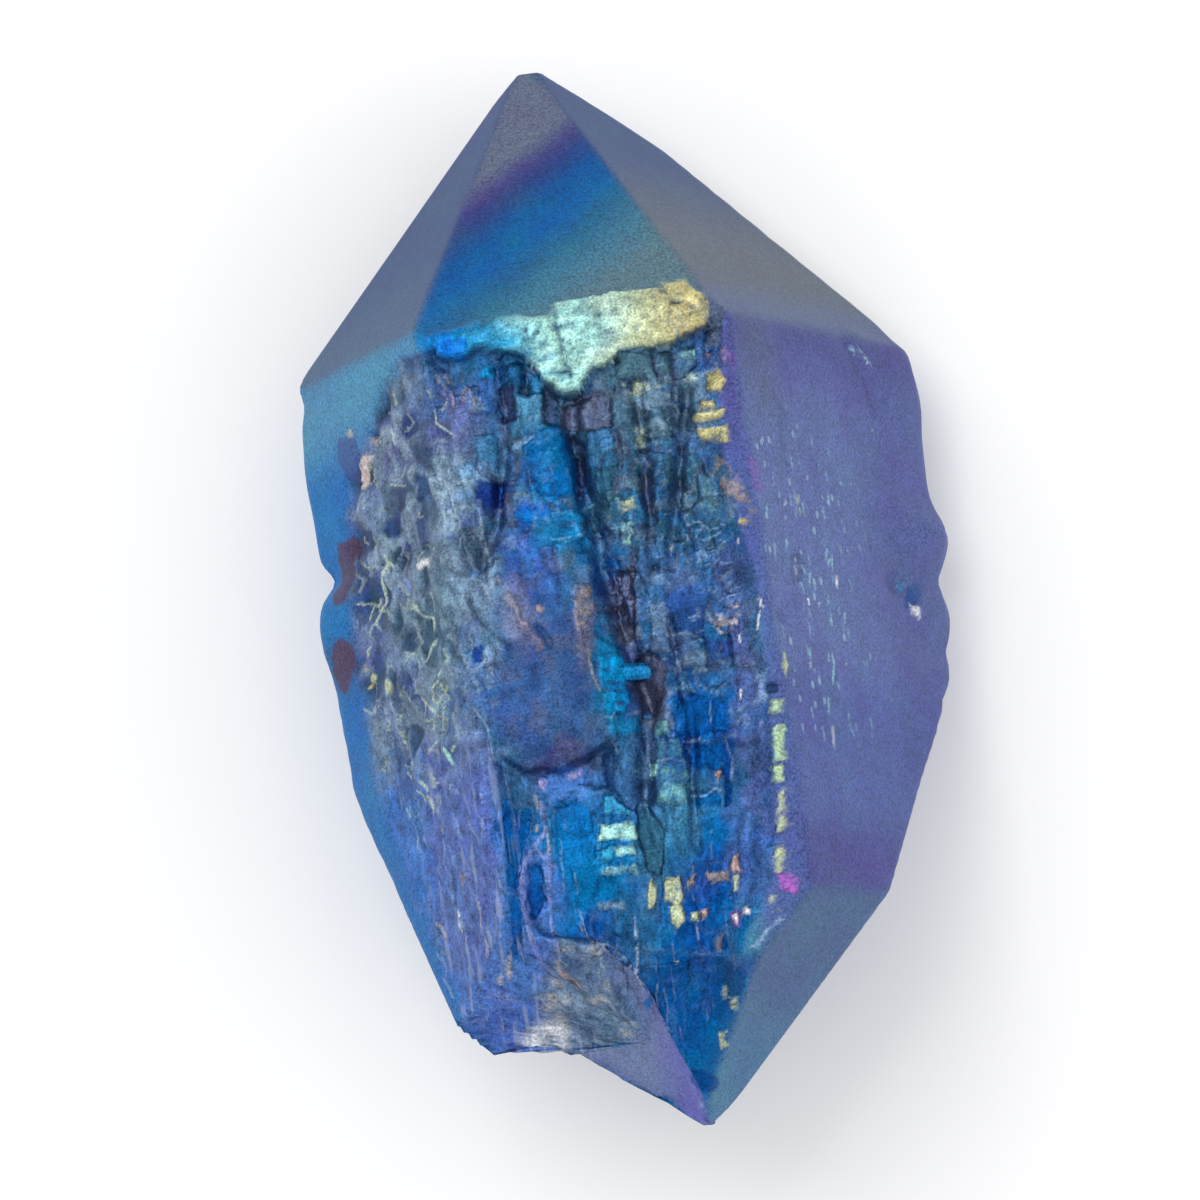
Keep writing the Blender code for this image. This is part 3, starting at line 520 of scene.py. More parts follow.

# Thin ridges and lines: colour, strength, width in the photo's pixels, rise in mm and route in
# the photo's pixels. The sunk brown, dark brown and dark ones are painted shade in grooves; the
# white ones are painted glints; the gold and mint ones are the coating's colour brightened as
# painted highlight
STROKES = (
    ("chevron", 0.95, 2.6, 0.05, ((368, 538), (382, 564), (375, 584), (377, 596))),
    ("chevron", 0.95, 2.6, 0.05, ((382, 564), (393, 580), (405, 599), (414, 609))),
    ("chevron", 0.95, 2.4, 0.05, ((403, 531), (398, 545), (400, 582))),
    ("chevron", 0.9, 2.2, 0.05, ((377, 596), (380, 604), (374, 625), (382, 638), (383, 654))),
    ("chevron", 0.8, 2.2, 0.05, ((411, 601), (418, 617), (429, 620), (433, 641), (424, 664))),
    ("chevron", 0.9, 2.4, 0.05, ((445, 663), (434, 685), (431, 701), (438, 706), (445, 690))),
    ("chevron", 0.8, 2.0, 0.05, ((416, 682), (418, 701), (431, 711), (442, 722))),
    ("chevron", 0.75, 2.0, 0.05, ((451, 719), (454, 742), (448, 753))),
    ("chevron", 0.8, 2.0, 0.05, ((434, 744), (426, 756), (430, 779))),
    ("mint", 0.9, 2.8, 0.06, ((441, 750), (447, 763), (455, 776))),
    ("chevron", 0.7, 1.8, 0.04, ((399, 742), (408, 758), (409, 766))),
    ("chevron", 0.7, 1.8, 0.04, ((404, 774), (411, 792))),
    ("chevron", 0.8, 2.0, 0.05, ((420, 784), (428, 806), (435, 829))),
    ("pale line", 0.8, 1.6, 0.03, ((485, 659), (473, 672))),
    ("pale line", 0.8, 1.6, 0.03, ((485, 664), (494, 677))),
    ("pale line", 0.6, 2.0, 0.03, ((460, 693), (486, 729), (489, 758))),
    ("gold", 0.8, 2.4, 0.04, ((364, 667), (371, 682), (365, 690))),
    ("chevron", 0.7, 1.8, 0.03, ((364, 711), (375, 719), (377, 711))),
    ("pale line", 0.7, 1.6, 0.03, ((371, 688), (379, 732), (388, 766))),
    ("chevron", 0.8, 2.0, 0.04, ((425, 393), (429, 422), (453, 434))),
    ("chevron", 0.8, 2.2, 0.04, ((382, 413), (389, 420))),
    ("chevron", 0.7, 1.8, 0.04, ((391, 392), (394, 405))),
    ("chevron", 0.8, 2.0, 0.04, ((375, 470), (374, 487))),
    ("chevron", 0.8, 2.2, 0.04, ((389, 486), (401, 487))),
    ("chevron", 0.8, 2.0, 0.04, ((430, 395), (436, 410), (444, 400))),
    ("chevron", 0.7, 1.6, 0.03, ((372, 445), (381, 438), (386, 425))),
    ("chevron", 0.7, 2.0, 0.03, ((386, 425), (392, 436), (393, 446))),
    ("cream", 0.5, 3.0, 0.04, ((448, 378), (452, 398), (448, 420))),
    ("ochre", 0.5, 4.0, 0.04, ((468, 384), (474, 402), (468, 412))),
    ("pale slate", 0.7, 9.0, 0.1, ((436, 446), (432, 480), (438, 520), (440, 560))),
    ("pale slate", 0.5, 5.0, 0.08, ((440, 480), (455, 520), (470, 560), (490, 600))),
    ("pale slate", 0.5, 5.0, 0.06, ((478, 500), (484, 540), (492, 590))),
    ("ochre", 0.45, 9.0, 0.1, ((497, 578), (515, 608), (539, 648))),
    ("pale slate", 0.45, 8.0, 0.08, ((440, 625), (462, 660), (484, 700))),
    ("cream", 0.45, 3.0, 0.03, ((588, 650), (592, 672), (600, 690))),
    ("pale line", 0.7, 1.6, 0.03, ((551, 540), (570, 537), (586, 531))),
    ("pale cyan", 0.8, 2.0, 0.04, ((551, 538), (568, 540), (584, 534))),
    ("pale cyan", 0.7, 1.6, 0.03, ((527, 452), (545, 447), (556, 446))),
    ("pale cyan", 0.6, 1.6, 0.03, ((572, 442), (577, 452))),
    ("pale cyan", 0.5, 1.6, 0.03, ((552, 512), (570, 512), (582, 520))),
    ("pale line", 0.7, 1.6, 0.04, ((686, 524), (700, 520), (712, 528), (726, 524))),
    ("pale line", 0.6, 1.6, 0.04, ((690, 534), (704, 538), (722, 532))),
    ("pale line", 0.6, 1.6, 0.04, ((684, 515), (690, 526), (688, 538))),
    ("pale line", 0.6, 1.4, 0.04, ((640, 520), (648, 528), (644, 538))),
    ("dark brown", 0.7, 5.0, -0.1, ((653, 350), (656, 368), (662, 378))),
    ("dark brown", 0.7, 5.0, -0.12, ((674, 350), (676, 372), (672, 400), (676, 430), (684, 452))),
    ("brown", 0.7, 6.0, -0.12, ((617, 432), (620, 460), (616, 490))),
    ("brown", 0.7, 6.0, -0.12, ((650, 460), (646, 480), (650, 500), (656, 520))),
    ("brown", 0.6, 6.0, -0.1, ((684, 455), (682, 480), (690, 500))),
    ("dark brown", 0.6, 4.0, -0.1, ((701, 445), (706, 458), (704, 470))),
    ("brown", 0.65, 5.0, -0.1, ((632, 545), (634, 565), (628, 590))),
    ("dark brown", 0.6, 4.0, -0.1, ((611, 400), (613, 430), (618, 440))),
    ("brown", 0.6, 8.0, -0.15, ((518, 440), (516, 470), (508, 500), (512, 520))),
    ("dark brown", 0.5, 7.0, -0.12, ((470, 452), (482, 466), (492, 474))),
    ("dark", 0.5, 4.0, -0.1, ((596, 632), (606, 640), (618, 645), (630, 650))),
    ("dark", 0.6, 6.0, -0.12, ((538, 628), (548, 640), (552, 655))),
    ("dark", 0.5, 6.0, -0.1, ((588, 750), (596, 768), (606, 784), (620, 800), (640, 812))),
    ("dark", 0.5, 4.0, -0.1, ((465, 600), (475, 620), (496, 640), (510, 650))),
    ("pale line", 0.6, 1.8, 0.03, ((711, 700), (711, 733))),
    ("pale line", 0.8, 1.8, 0.04, ((684, 742), (700, 740), (710, 741))),
    ("pale line", 0.6, 1.6, 0.03, ((726, 737), (733, 760), (732, 780))),
    ("pale line", 0.7, 1.8, 0.04, ((693, 795), (706, 796), (716, 788), (722, 790))),
    ("pale line", 0.5, 1.6, 0.03, ((657, 760), (672, 758), (684, 761))),
    ("pale slate", 0.5, 2.5, 0.04, ((668, 633), (690, 632), (703, 640))),
    ("pale line", 0.6, 1.6, 0.03, ((676, 690), (684, 681), (692, 690))),
    ("white", 0.85, 2.2, 0.03, ((761, 600), (762, 607))),
    ("white", 0.8, 2.0, 0.03, ((760, 612), (759, 630))),
    ("white", 0.8, 2.2, 0.03, ((740, 634), (741, 642))),
    ("white", 0.8, 2.6, 0.03, ((742, 690), (741, 698))),
    ("white", 0.9, 2.2, 0.03, ((739, 538), (739, 543))),
    ("pale line", 0.8, 1.8, 0.02, ((776, 540), (777, 571))),
    ("pale line", 0.5, 1.6, 0.02, ((783, 615), (786, 640))),
    ("pale line", 0.75, 3.0, 0.05, ((746, 952), (759, 947), (769, 931), (782, 921))),
    ("pale cyan", 0.7, 1.6, 0.03, ((749, 978), (746, 994))),
    ("pale line", 0.8, 3.0, 0.05, ((636, 935), (638, 960), (636, 994))),
    ("pale line", 0.6, 2.0, 0.03, ((659, 960), (661, 980), (659, 1000))),
    ("pale line", 0.6, 2.0, 0.04, ((664, 925), (667, 945), (668, 962))),
    ("pale line", 0.6, 2.0, 0.04, ((697, 925), (700, 945), (703, 958))),
    ("pale line", 0.5, 1.6, 0.03, ((593, 920), (598, 945), (602, 975))),
    ("pale line", 0.45, 1.6, 0.03, ((577, 905), (585, 930), (590, 965))),
    ("pale line", 0.5, 1.6, 0.03, ((616, 915), (617, 950), (618, 985))),
    ("pale line", 0.6, 2.0, 0.04, ((633, 912), (635, 925), (636, 940))),
    ("lavender light", 0.7, 5.0, 0.05, ((540, 800), (545, 830), (532, 850), (520, 870), (524, 905),
     (530, 940), (538, 965))),
    ("lavender light", 0.7, 4.0, 0.05, ((548, 848), (549, 880), (548, 905), (553, 935), (560, 960))),
    ("lavender light", 0.6, 4.0, 0.04, ((536, 850), (548, 862), (556, 868))),
    ("cream", 0.6, 3.0, 0.04, ((535, 794), (538, 812), (536, 830))),
    ("cream", 0.45, 2.5, 0.03, ((546, 826), (550, 855))),
    ("pale line", 0.55, 2.0, 0.04, ((478, 795), (480, 820), (478, 845))),
    ("pale line", 0.55, 2.0, 0.04, ((490, 870), (497, 888), (506, 896))),
    ("pale line", 0.5, 1.8, 0.03, ((465, 850), (470, 880), (474, 910))),
    ("pale line", 0.5, 1.8, 0.03, ((412, 800), (420, 828), (424, 850))),
    ("pale line", 0.45, 1.6, 0.03, ((440, 842), (448, 880), (452, 905))),
    ("pale line", 0.45, 1.6, 0.03, ((479, 981), (478, 1000), (480, 1019))),
    ("cream", 0.5, 2.0, 0.03, ((430, 798), (436, 820), (440, 834))),
    ("cream", 0.55, 2.0, 0.03, ((474, 905), (480, 930), (486, 960))),
    ("orange", 0.5, 3.0, 0.03, ((552, 948), (560, 970), (580, 992))),
    ("mint speck", 0.6, 1.8, 0.02, ((874, 418), (875, 426))),
    ("white", 0.8, 2.2, 0.02, ((900, 448), (901, 452))),
    ("mint speck", 0.6, 1.8, 0.02, ((829, 545), (828, 556))),
    ("mint speck", 0.8, 2.2, 0.02, ((832, 556), (830, 560))),
    ("white", 0.85, 2.0, 0.02, ((839, 572), (839, 582))),
    ("mint speck", 0.7, 1.8, 0.02, ((812, 569), (811, 581))),
    ("white", 0.9, 2.6, 0.02, ((810, 596), (811, 601))),
    ("mint speck", 0.7, 2.0, 0.02, ((830, 590), (830, 601))),
    ("white", 0.8, 2.0, 0.02, ((927, 556), (928, 567))),
    ("white", 0.7, 2.0, 0.02, ((930, 588), (931, 594))),
    ("mint speck", 0.8, 2.2, 0.02, ((847, 610), (847, 620))),
    ("mint speck", 0.7, 1.8, 0.02, ((833, 611), (834, 618))),
    ("mint speck", 0.7, 1.8, 0.02, ((850, 626), (852, 635))),
    ("mint speck", 0.6, 1.8, 0.02, ((805, 611), (805, 618))),
    ("mint speck", 0.6, 1.6, 0.02, ((812, 645), (812, 655))),
    ("mint speck", 0.5, 1.6, 0.02, ((869, 650), (870, 662))),
    ("mint speck", 0.8, 1.8, 0.02, ((834, 650), (836, 663), (835, 680))),
    ("mint speck", 0.7, 2.0, 0.02, ((830, 694), (831, 711))),
    ("white", 0.45, 2.6, 0.02, ((834, 719), (836, 743))),
    ("mint speck", 0.7, 1.8, 0.02, ((805, 600), (806, 606))),
    ("pale line", 0.4, 2.5, 0.02, ((795, 480), (798, 520))),
    ("pale line", 0.4, 2.0, 0.02, ((808, 500), (814, 520))),
    ("dark plum", 0.45, 7.0, -0.02, ((858, 362), (868, 385), (876, 410))),
    ("dark plum", 0.35, 5.0, -0.02, ((780, 400), (784, 440), (790, 470))),
)

# Scattered short strokes: colour, strength, half width, rise, x and y from and to, spacing
# across and along, length, turn from the long axis and spread of the turns in degrees. The white
# strokes are painted glints and the sunk dark brown ones painted shade
SCATTERED = (
    ("chevron", 0.85, 0.028, 0.07, -7.7, -5.2, -6.0, 2.4, 0.40, 0.50, 0.50, -10.0, 130.0),
    ("chevron", 0.70, 0.026, 0.06, -7.3, -4.9, 2.4, 5.6, 0.50, 0.60, 0.45, 0.0, 150.0),
    ("pale line", 0.60, 0.030, 0.03, -6.9, -4.3, -11.5, -5.5, 0.45, 0.62, 0.62, -14.0, 24.0),
    ("pale line", 0.35, 0.026, 0.03, -4.0, -2.0, -11.0, -6.0, 0.60, 0.90, 0.90, 4.0, 24.0),
    ("pale slate", 0.50, 0.030, 0.05, -5.2, -3.0, -2.5, 4.5, 0.50, 0.70, 0.55, 10.0, 90.0),
    ("pale line", 0.45, 0.026, 0.04, 0.2, 3.6, -4.0, 5.0, 0.55, 0.50, 0.36, 80.0, 60.0),
    ("pale line", 0.35, 0.026, 0.03, -1.0, 2.6, -13.0, -8.5, 0.60, 1.10, 0.80, 3.0, 14.0),
    ("mint speck", 0.70, 0.030, 0.03, 4.6, 7.6, -5.6, 3.8, 0.46, 0.58, 0.26, -4.0, 26.0),
    ("pale line", 0.45, 0.026, 0.03, -0.4, 1.6, -15.2, -12.4, 0.42, 0.60, 0.60, 2.0, 16.0),
    ("denim", 0.50, 0.050, 0.04, -0.2, 3.4, -3.0, 5.6, 0.60, 0.80, 0.90, -8.0, 40.0),
    ("dark brown", 0.45, 0.060, -0.05, -4.0, 3.2, -3.5, 6.0, 1.00, 1.20, 1.10, 4.0, 30.0),
    ("white", 0.50, 0.024, 0.03, 5.0, 7.2, -4.0, 3.0, 0.90, 1.10, 0.16, 10.0, 80.0),
)

# Small changes of colour from block to block: from and to this share of the blocks, and how much
BLOCK_TONES = (
    (0.00, 0.12, "navy", 0.40), (0.12, 0.22, "azure", 0.35), (0.22, 0.32, "pale slate", 0.30),
    (0.32, 0.40, "brown", 0.35), (0.40, 0.46, "cyan", 0.25), (0.46, 0.54, "dark teal", 0.45),
    (0.54, 0.60, "indigo blue", 0.35),
)

# Colours of the flank's scales: draw, share that is left out, strength and colour
SCALE_TONES = (
    (92, 0.62, 0.55, "deep teal"), (93, 0.70, 0.45, "pale slate"), (89, 0.75, 0.30, "indigo blue"),
)

# Bands of colour across the upper tip face and along the ledge: colour and place
TIP_BANDS = (
    ("mauve", -1.0), ("plum", -0.35), ("indigo", 0.15), ("cobalt", 0.85), ("azure", 1.7),
    ("teal wash", 2.6), ("teal", 3.4), ("grey film", 4.6),
)
# The ledge's bands are the coating's colours, made pale and bright as a painted highlight
LEDGE_BANDS = (
    ("sky", -4.4), ("cyan", -3.6), ("pale cyan", -2.4), ("mint", -1.2), ("mint", 0.2),
    ("pale mint", 1.0), ("pale gold", 1.9), ("gold", 3.0),
)

# First colour of each face
FACE_TONES = {
    "upper prism": "teal", "right prism": "right high", "left prism": "strip",
    "lower right prism": "right low", "lower left prism": "left blue", "rest": "steel",
    "upper tip": "azure", "right tip": "right tip", "left tip": "steel",
    "lower right tip": "mauve", "lower left tip": "steel", "under tip": "indigo",
    "upper root": "azure deep", "right root": "right root", "lower right root": "right low",
    "lower left root": "left blue", "left root": "purple facet", "under root": "steel",
    "break": "break", "under break": "lavender",
}

# Washes of colour over a face: face, colour, strength, and the ranges from none to all
FACE_WASHES = (
    ("upper prism", "right high", 1.0, (("x", 2.6, 3.6),)),
    ("upper prism", "violet strip", 1.0, (("x", 2.6, 3.6), ("y", 4.5, 2.5))),
    ("upper prism", "strip", 1.0, (("x", -3.5, -4.5),)),
    ("right prism", "right middle", 1.0, (("cloudy y", 7.2, 4.0),)),
    ("right prism", "right low", 1.0, (("y", -2.5, -4.5),)),
    ("right prism", "right high", 0.9, (("y", -7.0, -9.0),)),
    ("right prism", "right high", 0.5, (("x", 7.4, 8.8),)),
    ("right prism", "slate grey", 0.5, (("x", 4.0, 5.4), ("x", 6.4, 5.2), ("y", 3.5, 5.0))),
    ("left prism", "strip high", 1.0, (("y", 4.2, 6.6),)),
    ("left prism", "steel", 0.6, (("y", 0.4, -0.4), ("y", -2.4, -0.6))),
    ("left prism", "left blue", 1.0, (("y", -2.0, -5.0),)),
    ("left tip", "grey film", 0.4, (("y", 12.0, 7.5),)),
    ("right tip", "steel", 1.0, (("y", 10.0, 14.5),)),
    ("right tip", "lavender", 0.35, (("y", 9.2, 7.4),)),
    ("right root", "right root low", 1.0, (("y", -12.0, -15.0),)),
    ("left root", "purple low", 1.0, (("x", -1.2, 0.3),)),
    ("left root", "left blue", 1.0, (("x", 0.5, 1.2),)),
)
HIDDEN_FACES = ("lower right prism", "lower left prism", "rest", "under tip", "under root")
HIDDEN_WASHES = (
    ("azure", 0.6, (("slow", 0.0, 0.8),)), ("lavender", 0.6, (("slow", 0.0, -0.8),)),
)


def linear(name):
    """A named colour in linear light."""
    value = np.array(COLOURS[name]) / 255.0
    return np.where(value <= 0.04045, value / 12.92, ((value + 0.055) / 1.055) ** 2.4)


def face_normal(turn, lean):
    """Outward normal of a crystal face."""
    turn = math.radians(turn)
    lean = math.radians(lean)
    return (math.cos(lean) * math.sin(turn), math.sin(lean), math.cos(lean) * math.cos(turn))


def face_list(*groups):
    """Normals and distances of the faces of one convex part of the crystal."""
    faces = [face for group in groups for face in group.values()]
    normals = np.array([face_normal(turn, lean) for turn, lean, reach in faces])
    return normals, np.array([reach for turn, lean, reach in faces])


def camera_axes():
    """The camera's directions: across and up in the picture, and back towards the camera."""
    height = math.radians(CAMERA_HEIGHT)
    turn = math.radians(CAMERA_TURN)
    right = np.array((1.0, 0.0, 0.0))
    above = np.array((0.0, math.sin(height), math.cos(height)))
    back = np.array((0.0, -math.cos(height), math.sin(height)))
    across = right * math.cos(turn) - above * math.sin(turn)
    upward = right * math.sin(turn) + above * math.cos(turn)
    return across, upward, back


@functools.cache
def faces_from_above():
    """The faces that look up, once with the pointed end and once with the broken one."""
    ends = []
    for end_faces in (POINTED_FACES, STUMP_FACES):
        normals, reach = face_list(BODY_FACES, end_faces)
        reach[list(BODY_FACES).index("upper prism")] -= FORMS_DEPTH
        looks_up = normals[:, 2] > 1e-3
        ends.append((normals[looks_up], reach[looks_up]))
    return ends


def height_in_plan(x, y):
    """Height of the upper surface at a place in plan."""
    heights = []
    for normals, reach in faces_from_above():
        heights.append(((reach - normals[:, 0] * x - normals[:, 1] * y) / normals[:, 2]).min())
    return max(FORMS_LOWEST, max(heights))


def from_photo(px, py):
    """Place in plan, in mm, of what the photo shows at a pixel."""
    across, upward, back = camera_axes()
    eye = np.array(AIM) + back * CAMERA_DISTANCE
    seen = np.array(AIM) + across * (px - PHOTO_MIDDLE[0]) * PHOTO_SCALE
    seen = seen + upward * (PHOTO_MIDDLE[1] - py) * PHOTO_SCALE
    z = FIRST_HEIGHT
    for guess in range(GUESSES):
        x, y, level = eye + (seen - eye) * (z - eye[2]) / (seen[2] - eye[2])
        z = (z + height_in_plan(x, y)) / 2
    return round(float(x) + FORMS_SHIFT, 2), round(float(y), 2)


@functools.cache
def placed(route):
    """A route or outline in the photo's pixels as places in plan, in mm."""
    return tuple(from_photo(px, py) for px, py in route)


def smooth(low, high, value):
    """Smooth rise from 0 at low to 1 at high."""
    t = np.clip((value - low) / (high - low), 0.0, 1.0)
    return t * t * (3.0 - 2.0 * t)


def chance(i, j, seed=0):
    """A fixed number from 0 to 1 for each pair of whole numbers."""
    wave = np.sin(i * 127.1 + j * 311.7 + (seed + SEED) * 74.7) * 43758.5453
    return wave - np.floor(wave)


def noise(x, y, size, seed=0):
    """Smooth noise from -1 to 1 with forms of about the given size."""
    u = x / size
    v = y / size
    i = np.floor(u)
    j = np.floor(v)
    fu = smooth(0.0, 1.0, u - i)
    fv = smooth(0.0, 1.0, v - j)
    low = chance(i, j, seed) * (1 - fu) + chance(i + 1, j, seed) * fu
    high = chance(i, j + 1, seed) * (1 - fu) + chance(i + 1, j + 1, seed) * fu
    return 2.0 * (low * (1 - fv) + high * fv) - 1.0


def cloud(x, y, size, seed=0):
    """Three sizes of noise together, from about -1 to 1."""
    total = noise(x, y, size, seed) + 0.5 * noise(x, y, size / 2.1, seed + 1)
    return (total + 0.25 * noise(x, y, size / 4.3, seed + 2)) / 1.4


def cells(x, y, wide, tall, seed):
    """Scattered cells of a given size: each point's cell, its place in it and its edge gap."""
    u = x / wide
    v = y / tall
    base_i = np.floor(u)
    base_j = np.floor(v)
    first = np.full(x.shape, 9.0)
    second = np.full(x.shape, 9.0)
    near_i = np.zeros(x.shape)
    near_j = np.zeros(x.shape)
    for di in (-1, 0, 1):
        for dj in (-1, 0, 1):
            i = base_i + di
            j = base_j + dj
            gap = np.hypot(u - i - chance(i, j, seed), v - j - chance(i, j, seed + 1))
            closer = gap < first
            second = np.where(closer, first, np.minimum(second, gap))
            near_i = np.where(closer, i, near_i)
            near_j = np.where(closer, j, near_j)
            first = np.where(closer, gap, first)
    du = u - near_i - chance(near_i, near_j, seed)
    dv = v - near_j - chance(near_i, near_j, seed + 1)
    return near_i, near_j, du, dv, second - first


def path_distance(x, y, path):
    """Distance in plan from each point to a run of straight pieces."""
    best = np.full(x.shape, np.inf)
    for (ax, ay), (bx, by) in zip(path[:-1], path[1:]):
        dx = bx - ax
        dy = by - ay
        t = np.clip(((x - ax) * dx + (y - ay) * dy) / (dx * dx + dy * dy), 0.0, 1.0)
        best = np.minimum(best, np.hypot(x - ax - t * dx, y - ay - t * dy))
    return best


def outline_distance(x, y, corners):
    """Distance in plan from each point to a closed outline, negative inside it."""
    best = path_distance(x, y, corners + corners[:1])
    inside = np.zeros(x.shape, dtype=bool)
    for (ax, ay), (bx, by) in zip(corners, corners[1:] + corners[:1]):
        if ay != by:
            inside ^= ((ay > y) != (by > y)) & (x < (bx - ax) * (y - ay) / (by - ay) + ax)
    return np.where(inside, -best, best)


def route_height(x, route):
    """The y of a placed route that runs from left to right, at each x."""
    return np.interp(x, [place[0] for place in route], [place[1] for place in route])


def ledge_foot(x, y):
    """The y of the ledge's lower border."""
    return route_height(x, placed(FOOT)) + 0.06 * noise(x, y, 0.35, 62)


def ledge_cover(x, y):
    """1 on the bright ledge, 0 off it."""
    route = placed(RIM)
    left = route[0][0]
    right = route[-1][0]
    rim = route_height(x, route) + 0.05 * noise(x, y, 0.3, 61)
    foot = ledge_foot(x, y)
    along = smooth(left - 0.1, left + 0.1, x) * smooth(right + 0.05, right - 0.05, x)
    return along * smooth(foot - 0.03, foot + 0.05, y) * smooth(rim + 0.06, rim - 0.03, y)


def etched_cover(x, y):
    """How far a point is inside the etched upper part and inside its left flank, 0 to 1."""
    foot = ledge_foot(x, y)
    below = smooth(foot + 0.04, foot - 0.08, y)
    ragged = 0.12 * noise(x, y, 0.5, 63)
    left = np.interp(y, BORDER_Y, BORDER_LEFT) + 2.0 * ragged
    shoulder = np.interp(y, BORDER_Y, SHOULDER)
    right = np.interp(y, BORDER_Y, BORDER_RIGHT) + ragged
    wander = 0.35 * noise(x, y, 0.9, 64) + 0.2 * noise(x, y, 0.35, 65)
    turned = smooth(shoulder - 0.8, shoulder + 0.6, x + wander)
    upper = below * turned * smooth(right + 0.05, right - 0.25, x)
    flank = below * smooth(left - 0.1, left + 0.4, x) * (1.0 - turned)
    return upper, flank


def growth_steps(x, y):
    """The stacked growth steps: which column and step a point is in, and where in it."""
    x = x + 0.16 * noise(x, y, 0.9, 3) + 0.06 * noise(x, y, 0.33, 4)
    y = y + 0.20 * noise(x, y, 0.8, 5) + 0.08 * noise(x, y, 0.3, 6)
    shoulder = np.interp(y, BORDER_Y, SHOULDER)
    right = np.interp(y, BORDER_Y, BORDER_RIGHT)
    width = right - shoulder
    share = np.clip((x - shoulder) / width, 0.0, 0.999)
    column = np.searchsorted(COLUMN_EDGES, share, side="right") - 1
    left_edge = np.take(COLUMN_EDGES, column)
    right_edge = np.take(COLUMN_EDGES, column + 1)
    across = (share - left_edge) / (right_edge - left_edge) - 0.5
    tall = STEP_HEIGHT * (0.6 + 0.8 * chance(column, 0, 11))
    level = y / tall + 5.0 * chance(column, 1, 12) + 0.45 * noise(y, column * 9.0, 1.1, 13)
    step = np.floor(level)
    along = level - step - 0.5
    side_gap = (0.5 - np.abs(across)) * (right_edge - left_edge) * width
    end_gap = (0.5 - np.abs(along)) * tall
    return {"column": column, "step": step, "across": across, "along": along,
            "side gap": side_gap, "end gap": end_gap}


def step_form(steps):
    """Height of the growth steps: each is a small tilted block, split again into thinner ones."""
    column = steps["column"]
    step = steps["step"]
    rise = 0.7 * (chance(column, step, 14) - 0.5) + 0.4 * (chance(column, 0, 15) - 0.5)
    tip_over = 0.7 * (chance(column, step, 16) - 0.5) * steps["along"]
    side_tip = 0.6 * (chance(column, step, 17) - 0.5) * steps["across"]
    parts = 1.0 + np.floor(3.0 * chance(column, step, 18))
    layer = np.floor((steps["along"] + 0.5) * parts)
    halves = 1.0 + np.floor(1.6 * chance(column, step + layer, 24))
    half = np.floor((steps["across"] + 0.5) * halves)
    thin = 0.30 * (chance(column * 7 + half, step * 5 + layer, 19) - 0.5)
    return STEP_RISE * (rise + tip_over + side_tip + thin), layer, half


def step_seams(steps):
    """Seams between neighbouring blocks, 0 to 1: sunk in the relief and darkened as painted shade."""
    side = np.exp(-(steps["side gap"] / 0.06) ** 2) * chance(steps["column"], steps["step"], 25)
    end = np.exp(-(steps["end gap"] / 0.05) ** 2) * chance(steps["column"], steps["step"], 26)
    return np.clip(side + 0.8 * end, 0.0, 1.0)


def terraces(x, y):
    """Irregular flat-topped levels with crisp rims, as whole level numbers and the rims."""
    field = 2.6 * cloud(x * 1.25, y, 1.5, 28) + 0.5 * cloud(x, y, 0.45, 29)
    level = np.floor(field)
    part = field - level
    return level + smooth(0.80, 1.0, part), np.exp(-((part - 0.92) / 0.10) ** 2)


def up_to_edge(z):
    """1 on the upper sides, 0 on the underside, which stays flat where the crystal rests."""
    return smooth(*REST_HEIGHT, z)


def lump_cover(x, y):
    """1 on the smooth lump."""
    across = (x - LUMP_CENTRE[0]) / LUMP_HALF[0]
    along = (y - LUMP_CENTRE[1]) / LUMP_HALF[1]
    return np.exp(-across ** 4 - along ** 4)


def step_line(x):
    """The y of the undercut step below the lump."""
    return np.interp(x, STEP_X, STEP_Y)


def past_step(x, y):
    """1 just past the undercut step, fading to 0 further on."""
    line = step_line(x)
    past = smooth(line + 0.04, line - 0.08, y) * smooth(line - 3.0, line - 0.5, y)
    past = past * smooth(STEP_X[0] - 0.3, STEP_X[0] + 1.1, x)
    return past * smooth(STEP_X[-1] + 0.4, STEP_X[-1] - 0.3, x)


def flank_scales(x, y):
    """The scales of the left flank, as cells."""
    across = x * 1.7 + 0.15 * noise(x, y, 0.6, 33)
    return cells(across, y + 0.2 * noise(x, y, 0.7, 37), 0.62, 0.85, 34)


def flank_ridges(x, y):
    """Long narrow folds of the flank, from -1 between them to 1 on their crests."""
    return 1.0 - 2.0 * np.abs(noise(x * 2.2 + 0.6 * noise(x, y, 0.7, 39), y, 0.9, 40))


def calm_share(x, y, lump):
    """How much of the growth steps shows: least on the lump, less at the root and flank."""
    at_root = ROOT_CALM[0] * smooth(ROOT_CALM[1], ROOT_CALM[2], y)
    at_flank = FLANK_CALM[0] * smooth(FLANK_CALM[1], FLANK_CALM[2], x)
    return 1.0 - LUMP_CALM * lump - at_root - at_flank


